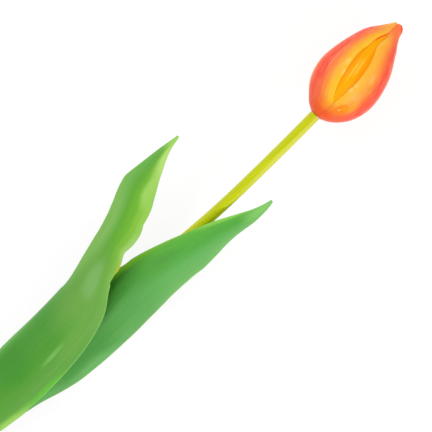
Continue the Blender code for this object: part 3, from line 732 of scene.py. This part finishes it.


# Polyurethane, cast soft and airbrushed while in its mould: an amber skin with a satin gloss and pale
# streaks where the brush passed lengthwise. The deeper orange at its sides, under the outer petals'
# margins, is painted shade, and the two pale strokes down its middle are painted highlights.
AMBER_STROKES = (30.0, 2.2, 1.0)  # to a half width and to a length: 0.6 mm wide, 25 mm long
# painted highlights: two pale strokes down the middle of the amber strip
PAINTED_HIGHLIGHT_STROKES = [((-0.045, 0.5), (0.05, 0.16), "ffc040"), ((0.055, 0.56), (0.045, 0.14), "ffc040")]
amber_petal, tree, shader = start_finish("polyurethane_cast_amber", gloss=0.08, let_through=0.1)
placed, _, where = place_on_sheet(tree)
strokes = streaks_along(tree, where, AMBER_STROKES, detail=4.0, roughness=0.6)
ground = graded(tree, strokes, [(0.25, "ff9400"), (0.45, "ffa800"), (0.6, "ffb400"), (0.8, "ffc020")])
from_middle = add(tree, "Math", {0: placed}, operation="ABSOLUTE")
# painted shade: deeper orange towards the sides, where the outer petals' margins cover the petal
painted_shade_at_sides = stretched(tree, from_middle, (0.08, 0.2), (0.0, 0.85))
coats = [(painted_shade_at_sides, "ff9600"), *touches_on(tree, where, PAINTED_HIGHLIGHT_STROKES)]
colour = coated(tree, ground, coats)
skinned(tree, shader, colour, strokes, dull=(0.32, 0.48), strength=0.4, depth=0.2 * MM)

across = spread(PETAL_COLUMNS, PETAL_RIM)
halves = [math.pi * (i + 0.5) / PETAL_ROWS for i in range(PETAL_ROWS)]
petal_rows = [0.0, *[(1 - math.cos(half)) / 2 for half in halves], 1.0]


def petal_depth(i, j):
    """The thickness of a petal: thinner towards its side margins, and rounded off at every rim."""
    to_side, share = 1 - abs(across[j]), petal_rows[i]
    full = RIM_THICKNESS + (PETAL_THICKNESS - RIM_THICKNESS) * ease_in(to_side, 0.0, PETAL_THINNING)
    return rim_depth(full, min(to_side, share * 2, (1 - share) * 3), PETAL_RIM)


def folds(i, j):
    """Fine lengthwise folds, which run out at both ends."""
    return FOLD_DEPTH * math.cos(FOLDS * across[j]) * math.sin(math.pi * petal_rows[i])


inner_inset = PETAL_LAP + PETAL_THICKNESS + PETAL_GAP
for side, centre in {"front": 0.0, "right": PETAL_PITCH, "left": -PETAL_PITCH}.items():
    top = INNER_TOP if side == "front" else ROOF_TOP
    grid = []
    for share in petal_rows:
        height = PETAL_FOOT + (top - PETAL_FOOT) * share
        half = rounded_tip(INNER_HALF_ANGLE, height, top)
        left, right = cleft_margins(height)
        raised = 0.0
        if side == "front":
            raised = ease_in(height, *RAISED_FROM) * (1 - ease_in(height, *RAISED_TO))
        row = []
        for v in across:
            angle = v * half
            inset = CLEFT_LEFT_INSET
            inset += (CLEFT_RIGHT_INSET - CLEFT_LEFT_INSET) * ease_in(angle, left, max(right, left + 1))
            between = max(1 - ((2 * angle - left - right) / max(right - left, 4.0)) ** 2, 0.0)
            inset -= CLEFT_SWELL * between
            beyond = ease_in(max(left - angle, angle - right), *UNDER_MARGIN)
            near = raised * (1 - beyond)
            point = bud_point(height, centre + angle, inner_inset * (1 - near) + inset * near)
            if side != "front":
                middle = Vector((-bud_rail(height)[1], -ROOF_FORWARD, point.z))
                point = point.lerp(middle, ROOF_CLOSING * ease_in(height, ROOF_FOOT, top))
            row.append(point)
        grid.append(row)
    name = f"inner_petal_{side}"
    mesh = moulded_sheet(name + "_cast", grid, folds, petal_depth, across, petal_rows, in_neck)
    place(mesh, amber_petal, "bud", name)


# Outer petals: three more sheets of the same polyurethane, glued outside the inner ones. Each one's right
# margin laps over the next; the front pair draws apart in a cleft, and the tips part into rounded lobes.
# The right one has a dimple low down, where it was gated, and its tip stands off a little.
OUTER_FOOT = 0.1 * MM
CLOSED_LAP_ANGLE = 4.0
FOOT_LAP = 0.25  # share of the lap that is left at the foot, where the petals are pressed flat
MARGIN_TUCK = 0.65 * MM
TUCK_FROM = 0.75  # share of a half width from which the right margin is tucked in
TIP_FLARE = 0.25 * MM
DIMPLE = (9.8 * MM, 28.5)  # its height and its angle from the front to the right
DIMPLE_REACH = 1.9 * MM
DIMPLE_DEPTH = 0.48 * MM
DIMPLE_RIM = (0.3, 1.8)  # its height, of the dimple's depth, and its distance, of the dimple's reach
PRESSED_HEIGHT = 5.0 * MM  # up to here the petals are pressed flat on each other
FLARE_RISE = (53.5 * MM, 55.5 * MM)  # heights between which the right petal's tip starts to stand off,
FLARE_END = 58.0 * MM  # and from which it comes in again
RIB_HEIGHT = 0.04 * MM
RIBS = 30  # radians of ribs to a half width
MIDDLE_LINE_DEPTH = 0.12 * MM
MIDDLE_LINE_WIDTH = 0.05
CORAL_STROKES = (34.0, 1.8, 1.0)  # to a half width and to a length: 0.6 mm wide, 34 mm long
GLINT_SPECKS = (36.0, 8.0, 1.0)  # 0.5 mm wide, 8 mm long
CORAL_BANDS = [  # from a petal's left margin to its right one
    "ffb82c", "ffb634", "ffa636", "ff9034", "ff6430", "fb4c30", "fb4a38", "ff6e44", "ff9438", "ffb82a",
    "ffc41e",
]

# Each petal: its middle's angle, its top, how high its round tip is, how far that turns, and its colour.
OUTER_PETALS = {
    "left": (-PETAL_PITCH / 2, BUD_HEIGHT - 2.1 * MM, 7.0 * MM, 0.0, "ffae46"),
    "right": (PETAL_PITCH / 2, BUD_HEIGHT - 1.5 * MM, 4.5 * MM, -62.0, "ff7c46"),
    "back": (PETAL_PITCH * 1.5, BUD_HEIGHT - 2.8 * MM, 7.0 * MM, 0.0, "f07a38"),
}


def on_petal(side, height, angle):
    """The place across and along an outer petal of a height and an angle from the front to the right."""
    centre, top = OUTER_PETALS[side][:2]
    margin = cleft_margins(height)[0 if side == "left" else 1]
    return (angle - centre) / abs(margin - centre), (height - OUTER_FOOT) / (top - OUTER_FOOT)


# Touches of colour: where, how far across and along they reach, and their colour. Most are the airbrush's;
# those marked are painted light or painted shade.
dimple_place = on_petal("right", *DIMPLE)
# painted highlight: the pale glints on the petals' yellow bands
PAINTED_GLINT = "ffcc64"
touches = {
    "left": [
        # the red line along the margin near the tip: partly the margin's own red, partly painted shade
        # under it
        ((1.0, 0.84), (0.1, 0.13), "ff4c1c"),
        (on_petal("left", 8.8 * MM, -42.0), (0.2, 0.12), "ff6c44"),
        (on_petal("left", 26.0 * MM, -43.0), (0.08, 0.15), "ff8a58"),
        # painted highlights on the left petal
        (on_petal("left", 24 * MM, -14.5), (0.07, 0.04), PAINTED_GLINT),
        (on_petal("left", 29.5 * MM, -19.0), (0.09, 0.05), PAINTED_GLINT),
    ],
    "right": [
        (on_petal("right", 14.5 * MM, 37.0), (0.28, 0.1), "ffa024"),
        # the dimple: its deeper orange ring is painted shade, lighter on its upper side, and its pale spot
        # a painted highlight
        (dimple_place, (0.28, 0.08), "ff8400"),
        ((dimple_place[0] + 0.03, dimple_place[1] + 0.015), (0.15, 0.04), "ff9c00"),
        ((dimple_place[0] - 0.01, dimple_place[1] - 0.018), (0.055, 0.016), "ffb878"),
        # painted highlights on the right petal
        (on_petal("right", 23.5 * MM, 17.0), (0.07, 0.03), PAINTED_GLINT),
        (on_petal("right", 20 * MM, 14.5), (0.08, 0.035), "ffca68"),
        (on_petal("right", 31 * MM, 35.0), (0.16, 0.06), "ffb454"),
        ((0.6, 0.985), (0.5, 0.06), "f84c24"),
    ],
    "back": [],
}

for number, (side, (centre, top, tip_height, tip_turn, tip_colour)) in enumerate(OUTER_PETALS.items()):
    rise = top - OUTER_FOOT

    # The same polyurethane, airbrushed in bands: coral red down the middle, through orange to yellow at the
    # margins, and orange-red at the foot. Lengthwise strokes draw the bands' edges out in streaks, and pale
    # specks are painted highlights. The skin keeps a soft satin gloss, with a faint bloom at grazing light.
    finish_name = f"polyurethane_cast_airbrushed_{side}"
    bloom = {"Sheen Weight": 0.12, "Sheen Roughness": 0.25}
    coral_petal, tree, shader = start_finish(finish_name, gloss=0.18, let_through=0.1, **bloom)
    placed, risen, where = place_on_sheet(tree)
    other_strokes = (5.0 * number, 0.0, 0.0)  # on each petal
    strokes = streaks_along(tree, where, CORAL_STROKES, detail=5.0, roughness=0.65, shift=other_strokes)
    wander = stretched(tree, strokes, made=(-0.3, 0.3))
    band = add(tree, "Math", {0: placed, 1: wander}, operation="ADD")
    half_way = stretched(tree, band, (-1.0, 1.0))
    bands = [(i / (len(CORAL_BANDS) - 1), tint) for i, tint in enumerate(CORAL_BANDS)]
    banded = graded(tree, half_way, bands)
    # painted highlights: pale specks where the noise is high
    glint_noise = streaks_along(tree, where, GLINT_SPECKS, detail=1.0)
    pale = stretched(tree, glint_noise, (0.55, 0.78), (0.0, 0.5))
    at_foot = stretched(tree, risen, (0.17, 0.05))
    at_tip = stretched(tree, risen, (0.8, 0.96), curve="SMOOTHSTEP")
    coats = [(pale, "ffd080"), (at_foot, "fb5c22"), (at_tip, tip_colour)]
    coats += touches_on(tree, where, touches[side])
    colour = coated(tree, banded, coats)
    skinned(tree, shader, colour, strokes, dull=(0.3, 0.45), strength=0.4, depth=0.18 * MM)

    grid = []
    heights = [OUTER_FOOT + rise * share for share in petal_rows]
    for height in heights:
        half = rounded_tip(PETAL_PITCH / 2 + CLOSED_LAP_ANGLE, height, top, tip_height)
        middle = centre + tip_turn * tip_share(height, top) ** 2
        left, right = cleft_margins(height)
        low = right if side == "right" else middle - half
        high = left if side == "left" else middle + half
        pressed = FOOT_LAP + (1 - FOOT_LAP) * ease_in(height, 0.0, PRESSED_HEIGHT)
        row = []
        for v in across:
            angle = middle + v * ((high - middle) if v > 0 else (middle - low))
            inset = PETAL_LAP * (1 - v) / 2 * pressed
            inset += MARGIN_TUCK * ease_in(v, TUCK_FROM, 1.0) * pressed
            row.append(bud_point(height, angle, inset))
        grid.append(row)

    def swell(i, j):
        """Soft ribs, a shallow middle line and, on the right petal, the rimmed dimple and the flare."""
        v, height = across[j], heights[i]
        lift = RIB_HEIGHT * math.cos(v * RIBS)
        lift -= MIDDLE_LINE_DEPTH * math.exp(-((v / MIDDLE_LINE_WIDTH) ** 2))
        lift *= math.sin(math.pi * petal_rows[i])
        if side == "right":
            wide = bud_rail(height)[0] * math.radians(centre - cleft_margins(height)[1])
            away = math.hypot((v - dimple_place[0]) * wide, height - DIMPLE[0]) / DIMPLE_REACH
            rim = DIMPLE_RIM[0] * math.exp(-((away - DIMPLE_RIM[1]) ** 2) * 3)
            lift -= DIMPLE_DEPTH * (math.exp(-(away**2)) - rim)
            lift += TIP_FLARE * ease_in(height, *FLARE_RISE) * (1 - ease_in(height, FLARE_END, top))
        return lift

    name = f"outer_petal_{side}"
    mesh = moulded_sheet(name + "_cast", grid, swell, petal_depth, across, petal_rows, in_neck)
    place(mesh, coral_petal, "bud", name)


# Leaf sleeves: short tubes of the stem's polyethylene. Each slides and turns on the stem and carries the
# leaf that is glued round it.
SLEEVE_BORE = 3.0 * MM
SLEEVE_RADIUS = 4.0 * MM
SLEEVE_LENGTH = 14.0 * MM
SLEEVE_SEATS = {"lower": 58.0 * MM, "upper": 94.0 * MM}

outline = [(SLEEVE_BORE, 0.0), (SLEEVE_RADIUS, 0.0)]
outline += [(SLEEVE_RADIUS, SLEEVE_LENGTH), (SLEEVE_BORE, SLEEVE_LENGTH)]
for label, seat in SLEEVE_SEATS.items():
    name = f"{label}_leaf_sleeve"
    on_stem = laid_down @ Matrix.Translation(UP * seat)
    sleeve = turned(name + "_moulded", outline, on_stem, 2 * FINE_ROUNDING, closed=True, sides=64)
    place(sleeve, lime_plastic, f"{label}_sleeve", name)


# Leaves: long polyethylene blades, each moulded flat, curled to its shape while warm and glued by its
# base round its sleeve. Fine veins run from base to tip, and the trimmed margins are thin, pale and wavy.
LEAF_THICKNESS = 0.9 * MM
MARGIN_THICKNESS = 0.45 * MM
SHEATH_RADIUS = 5.2 * MM
NEST_RADIUS = 8.25 * MM
NEST_HEIGHT = 36.0 * MM
SHEATH_WRAP = 120.0
SHEATH_RUN = 3.0 * MM
LEAF_COLUMNS = 52
LEAF_ROW_PITCH = 1.4 * MM
LEAF_WIRE_RADIUS = 0.5 * MM
LEAF_WIRE_SHARE = 0.72
LEAF_RIM = 0.6 * MM
LEAF_RIM_SHARE = 0.03  # of its width
KEEL_DEPTH = 0.15 * MM
KEEL_WIDTH = 0.04  # of a half width
LEAF_RIBS = 20  # radians of ribs to a half width
RIBS_RUN_OUT = 8  # one over the share of the length that they run out over
WIRE_TAPER = 0.7
THIN_REACH = 6.0 * MM  # how far the thinning reaches in from the margin
END_ROW = 0.3 * MM

# Each leaf: its length, its wider half's width and which way its sheath faces.
LEAVES = {"lower": (233.0 * MM, 29.5 * MM, -15.0), "upper": (211.5 * MM, 19.5 * MM, 35.0)}

# Its stations above the sheath: height, right and front in percent of its length; the way it faces in
# degrees; its left and right widths, and the radii that they curl to, in percent of its width.
STATIONS = {
    "lower": [
        (29.6, -1.2, 4.8, -8, 85, 60, 52, 53), (41.2, -1.4, 5.6, -6, 100, 63, 61.9, 60),
        (53.2, -2.4, 6.2, -5, 93, 60, 56.6, 58), (60.9, -3.5, 6.5, -8, 76, 46, 56.5, 54),
        (66.5, -6.1, 6.8, -10, 50, 33, 47, 47), (73.0, -8.8, 7.3, -10, 36, 31, 51, 51),
        (79.4, -11.0, 7.9, -6, 35, 37, 61, 61), (84.1, -13.1, 8.3, 3, 37, 37, 61, 61),
        (86.3, -14.1, 8.4, 8, 34, 33, 61, 61), (91.0, -15.5, 8.6, 18, 21.5, 21.5, 54, 54),
        (95.7, -16.5, 8.6, 25, 11.2, 11.2, 47, 47), (100.4, -16.9, 8.4, 28, 3.4, 3.4, 47, 47),
    ],
    "upper": [
        (17.0, 2.3, 2.7, 42, 72, 73, 37, 58), (28.4, 3.2, 2.4, 41.5, 74, 82, 44, 231),
        (40.7, 4.0, 2.5, 39, 77, 92, 54, 231), (53.0, 3.8, 2.6, 38, 91, 100, 72, 205),
        (63.4, 2.6, 3.2, 28, 83, 94, 103, 164), (73.8, 3.3, 3.1, 22, 65, 66, 113, 133),
        (84.2, 4.6, 2.7, 18, 40, 40, 113, 113), (92.7, 6.3, 2.4, 15, 19, 19, 103, 103),
        (97.4, 6.9, 2.1, 15, 8, 8, 103, 103), (100.0, 7.0, 2.0, 15, 3.5, 3.5, 103, 103),
    ],
}

# How each margin was trimmed: places along the leaf in percent, and how far out it is there, in
# millimetres.
MARGIN_WAVES = {
    ("lower", "left"): [
        (0, 0), (58, 0), (61, -0.3), (64, -0.5), (66.5, -0.3), (68.5, -0.05), (73, -0.1), (75, -0.5),
        (78, -0.75), (80.7, -1.15), (82.5, -1.6), (84.3, -1.6), (86.1, -0.95), (87.6, -0.15), (89.8, -0.3),
        (93.4, -0.5), (96, -0.5), (98, -0.5), (100, -0.3),
    ],
    ("lower", "right"): [
        (0, 0), (24, 0), (27, -0.6), (30, 0), (32, 0.3), (34.5, 0.7), (37, -0.3), (40, 0.1), (44, 0.15),
        (52, 0), (57, -0.3), (62, -0.3), (65.6, 0), (66.3, -0.8), (67.2, -0.5), (68.2, -0.2), (69.6, 0.85),
        (71, 0.5), (72.3, -0.2), (73.6, -0.8), (75.3, 0), (77.5, 0.15), (79.3, -0.3), (80, -0.8),
        (80.8, -0.5), (83, 0.1), (84.3, 0.1), (86.1, 0.7), (88, 1), (91.6, 1.1), (95.2, 0.45), (97.5, -0.2),
        (100, -0.3),
    ],
    ("upper", "left"): [
        (0, 0), (62, 0), (64, -0.4), (66, 0), (70, -0.1), (77, -0.2), (87, 0.3), (92, 0.3), (95, 0),
        (100, 0),
    ],
    ("upper", "right"): [
        (0, 0), (5, 0), (9, -1.2), (13, -2.2), (17, -2.4), (22, -1.6), (25, -2.5), (27, -2.3), (29, -1.2),
        (32, 0.2), (36.4, 0.95), (40, 0.4), (45, 0.15), (50, -0.15), (57, -0.3), (60, 0), (64, -0.25),
        (67, -0.6), (70, -0.25), (72.5, 0.2), (75, 0.6), (78, 1.5), (80.5, 1.1), (83, 0.6), (85, 0),
        (89, -0.5), (92, 0), (94, 0.5), (97.5, 0.65), (100, 0.1),
    ],
}


def sheath_station(height, facing, radius):
    """A station where the blade is a sheath, concentric with the stem."""
    turn = math.radians(facing)
    width = radius * math.radians(SHEATH_WRAP)
    return (height, radius * math.sin(turn), radius * math.cos(turn), facing, width, width, radius, radius)


def leaf_rows(sheath, drawn, length, width, count):
    """The rows of a leaf, evenly spread on a smooth curve through its stations."""
    stations = list(sheath)
    for station in drawn:
        places = [share * length / 100 for share in station[:3]]
        spans = [share * width / 100 for share in station[4:]]
        stations.append((*places, station[3], *spans))
    at = [0.0]
    for low, high in zip(stations, stations[1:]):
        at.append(at[-1] + math.dist(low[:3], high[:3]))
    whole = at[-1]
    ends = [0.0, END_ROW, *[whole * row / count for row in range(1, count)], whole - END_ROW, whole]
    return [along_rails(stations, end, at) for end in ends], [end / whole for end in ends]


def trim_margins(label, rows, shares):
    """Widens or narrows each row's halves by the waves of the leaf's margins."""
    for row, share in zip(rows, shares):
        for column, side in ((4, "left"), (5, "right")):
            row[column] += along_rails(MARGIN_WAVES[label, side], 100 * share)[1] * MM


def leaf_frames(rows):
    """Each row's point of the midrib, direction to the right margin and outward normal."""
    ribs = [Vector((right, -front, height)) for height, right, front, *_ in rows]
    frames = []
    for row, rib, along in zip(rows, ribs, directions(ribs)):
        facing = math.radians(row[3])
        outward = Vector((math.sin(facing), -math.cos(facing), 0))
        outward = (outward - along * outward.dot(along)).normalized()
        frames.append((rib, along.cross(outward), outward))
    return frames


def leaf_grid(rows, across):
    """The outer face of a leaf: each half curls away from the midrib on an arc."""
    grid = []
    for row, (rib, right, outward) in zip(rows, leaf_frames(rows)):
        line = []
        for v in across:
            width, curl = (row[5], row[7]) if v > 0 else (row[4], row[6])
            turn = v * width / curl
            line.append(rib + right * curl * math.sin(turn) - outward * curl * (1 - math.cos(turn)))
        grid.append(line)
    return grid


# Polyethylene, injection moulded and dyed green in the mass: satin, slightly waxy, a little light comes
# through it. The mould's veins stand 1.5 mm apart, and the thin margins are paler and yellower.
VEIN_SPACING = 1.5 * MM
VEIN_GREEN = "a8d880"
LEAF_CLOUDS = (5.0, 9.0, 1.0)  # to a half width and to a length: 5 mm wide and 25 mm long

# Each leaf's greens from its left margin to its right one, low down and high up; between which shares of
# its length they change over; its margin's green; and soft spots where it is paler or darker. Where marked,
# greens and spots are painted light and painted shade.
LEAF_COLOURS = {
    "lower": {
        "low": [(0.0, "4e9836"), (0.3, "46942e"), (0.5, "4c952e"), (0.75, "569a30"), (1.0, "5ca03a")],
        # high up, the palest green at the left is a painted reflection of the left soft box, and the
        # yellow-lime at the right partly the leaf's own yellower green, partly painted light coming through
        # it
        "high": [
            (0.0, "74b454"), (0.25, "62a844"), (0.45, "60a62e"), (0.6, "6ab02c"), (0.85, "88c23c"),
            (1.0, "9cd058"),
        ],
        "rise": (0.52, 0.84),
        "margin": "90cc64",
        "spots": [
            # (-0.95, 0.42) is painted light that lifts the shade on the curled left margin
            ((-0.5, 0.4), (1.0, 0.07), "409028"), ((-0.95, 0.42), (0.5, 0.12), "5cae42"),
            ((0.55, 0.53), (0.45, 0.07), "60a036"), ((1.0, 0.31), (0.35, 0.1), "98ce58"),
            ((0.92, 0.41), (0.2, 0.07), "5cb630"), ((0.0, 0.63), (1.1, 0.14), "68a442"),
            # (0.05, 0.655) is a painted sheen, and (-0.9, 0.76) a painted reflection, the pale band along
            # the left
            ((0.05, 0.655), (0.45, 0.06), "78b05c"), ((-0.9, 0.76), (0.9, 0.17), "80b858"),
            ((1.0, 0.75), (0.4, 0.06), "98c864"), ((0.6, 0.865), (0.5, 0.05), "9ace5a"),
            # (0.3, 0.48) is a painted highlight on the midrib, and (0.8, 0.97) partly its own yellow-lime,
            # partly painted light coming through near the tip
            ((0.3, 0.48), (0.08, 0.045), "6cb052"), ((0.8, 0.97), (0.9, 0.11), "b2dc70"),
            ((0.0, 1.0), (2.0, 0.05), "9ad05c"), ((1.0, 0.7), (0.2, 0.026), "b4b000"),
        ],
    },
    "upper": {
        # the dark olive at the left is painted shadow cast by the lower leaf; the paler, bluer greens at
        # the right, here and high up, are partly the leaf's own green, partly a painted sheen
        "low": [(0.0, "226408"), (0.2, "2e781a"), (0.45, "48983a"), (0.75, "58a44c"), (1.0, "62a858")],
        "high": [
            (0.0, "64b23c"), (0.2, "56aa3c"), (0.45, "4ea43a"), (0.6, "5aac4c"), (0.85, "6ab25a"),
            (1.0, "7abc6a"),
        ],
        "rise": (0.58, 0.72),
        "margin": "98d060",
        "spots": [
            # (0.2, 0.41) is painted shadow cast by the lower leaf, and (0.95, 0.42) painted light that
            # lifts the shade on the curled right margin
            ((0.2, 0.41), (1.0, 0.15), "409034"), ((0.95, 0.42), (0.6, 0.1), "64ac5a"),
            ((-0.4, 0.71), (0.35, 0.07), "4f9e3c"), ((-0.95, 0.88), (0.3, 0.09), "84ca52"),
            ((-1.0, 0.64), (0.22, 0.15), "70b808"), ((-0.05, 0.98), (1.4, 0.08), "80c662"),
        ],
    },
}

for label, (length, width, facing) in LEAVES.items():
    colours = LEAF_COLOURS[label]
    finish_name = f"polyethylene_moulded_leaf_{label}"
    leaf_plastic, tree, shader = start_finish(finish_name, ior=1.51, gloss=0.2, let_through=0.08)
    placed, risen, where = place_on_sheet(tree)
    cloud = streaks_along(tree, where, LEAF_CLOUDS, detail=4.0)
    drift = stretched(tree, cloud, made=(-0.12, 0.12))
    half_way = stretched(tree, placed, (-1.0, 1.0))
    shifted = add(tree, "Math", {0: half_way, 1: drift}, operation="ADD")
    low_part = graded(tree, shifted, colours["low"])
    high_part = graded(tree, shifted, colours["high"])
    rise = stretched(tree, risen, colours["rise"], curve="SMOOTHSTEP")
    green = add(tree, "Mix", {0: rise, 6: low_part, 7: high_part}, data_type="RGBA")
    from_rib = add(tree, "Math", {0: placed}, operation="ABSOLUTE")
    at_margin = stretched(tree, from_rib, (0.92, 1.0), (0.0, 0.6))
    veins = streaks_along(tree, where, (2 * width / VEIN_SPACING, 3.0, 1.0), detail=2.0)
    on_vein = stretched(tree, veins, (0.45, 0.75), (0.0, 0.06))
    coats = touches_on(tree, where, colours["spots"])
    coats += [(at_margin, colours["margin"]), (on_vein, VEIN_GREEN)]
    colour = coated(tree, green, coats)
    skinned(tree, shader, colour, cloud, dull=(0.44, 0.58), relief=veins, strength=0.15, depth=0.08 * MM)

    heights = (0.0, SLEEVE_LENGTH, SLEEVE_LENGTH + SHEATH_RUN)
    sheath = [sheath_station(height, facing, SHEATH_RADIUS) for height in heights]
    if label == "lower":
        sheath.append(sheath_station(NEST_HEIGHT, facing, NEST_RADIUS))
    across = spread(LEAF_COLUMNS, LEAF_RIM_SHARE)
    rows, shares = leaf_rows(sheath, STATIONS[label], length, width, round(length / LEAF_ROW_PITCH))
    trim_margins(label, rows, shares)
    grid = leaf_grid(rows, across)

    def ribbing(i, j):
        """A shallow keel along the midrib and soft ribs beside it, which run out at both ends."""
        keel = KEEL_DEPTH * math.exp(-((across[j] / KEEL_WIDTH) ** 2))
        ribs = RIB_HEIGHT * math.cos(across[j] * LEAF_RIBS)
        return (ribs - keel) * min(1.0, RIBS_RUN_OUT * shares[i], RIBS_RUN_OUT * (1 - shares[i]))

    def depth(i, j):
        """The thickness of the leaf: thinner towards its margin, and rounded off at it."""
        half_width = rows[i][4] if across[j] < 0 else rows[i][5]
        edge = min((1 - abs(across[j])) * half_width, shares[i] * length, (1 - shares[i]) * length)
        full = MARGIN_THICKNESS + (LEAF_THICKNESS - MARGIN_THICKNESS) * min(1.0, edge / THIN_REACH)
        return rim_depth(full, edge, LEAF_RIM)

    name = f"{label}_leaf"
    on_stem = laid_down @ Matrix.Translation(UP * SLEEVE_SEATS[label])
    mesh = moulded_sheet(name + "_moulded", grid, ribbing, depth, across, shares, on_stem)
    place(mesh, leaf_plastic, name, name + "_blade")

    # Leaf wire: thin galvanised wire taped under the midrib, so that the leaf can be bent and stays bent.
    under = LEAF_THICKNESS + SEAT_GAP + LEAF_WIRE_RADIUS
    path = []
    for row, (rib, _, outward) in zip(rows, leaf_frames(rows)):
        if SLEEVE_LENGTH + SEAT_GAP <= row[0] <= length * LEAF_WIRE_SHARE:
            path.append(rib - outward * under)
    tip = LEAF_WIRE_RADIUS * WIRE_TAPER
    radii = [tip, *[LEAF_WIRE_RADIUS] * (len(path) - 2), tip]
    wire = round_rod(name + "_wire_drawn", path, radii, on_stem, sides=16)
    place(wire, zinc_wire, name, name + "_wire")
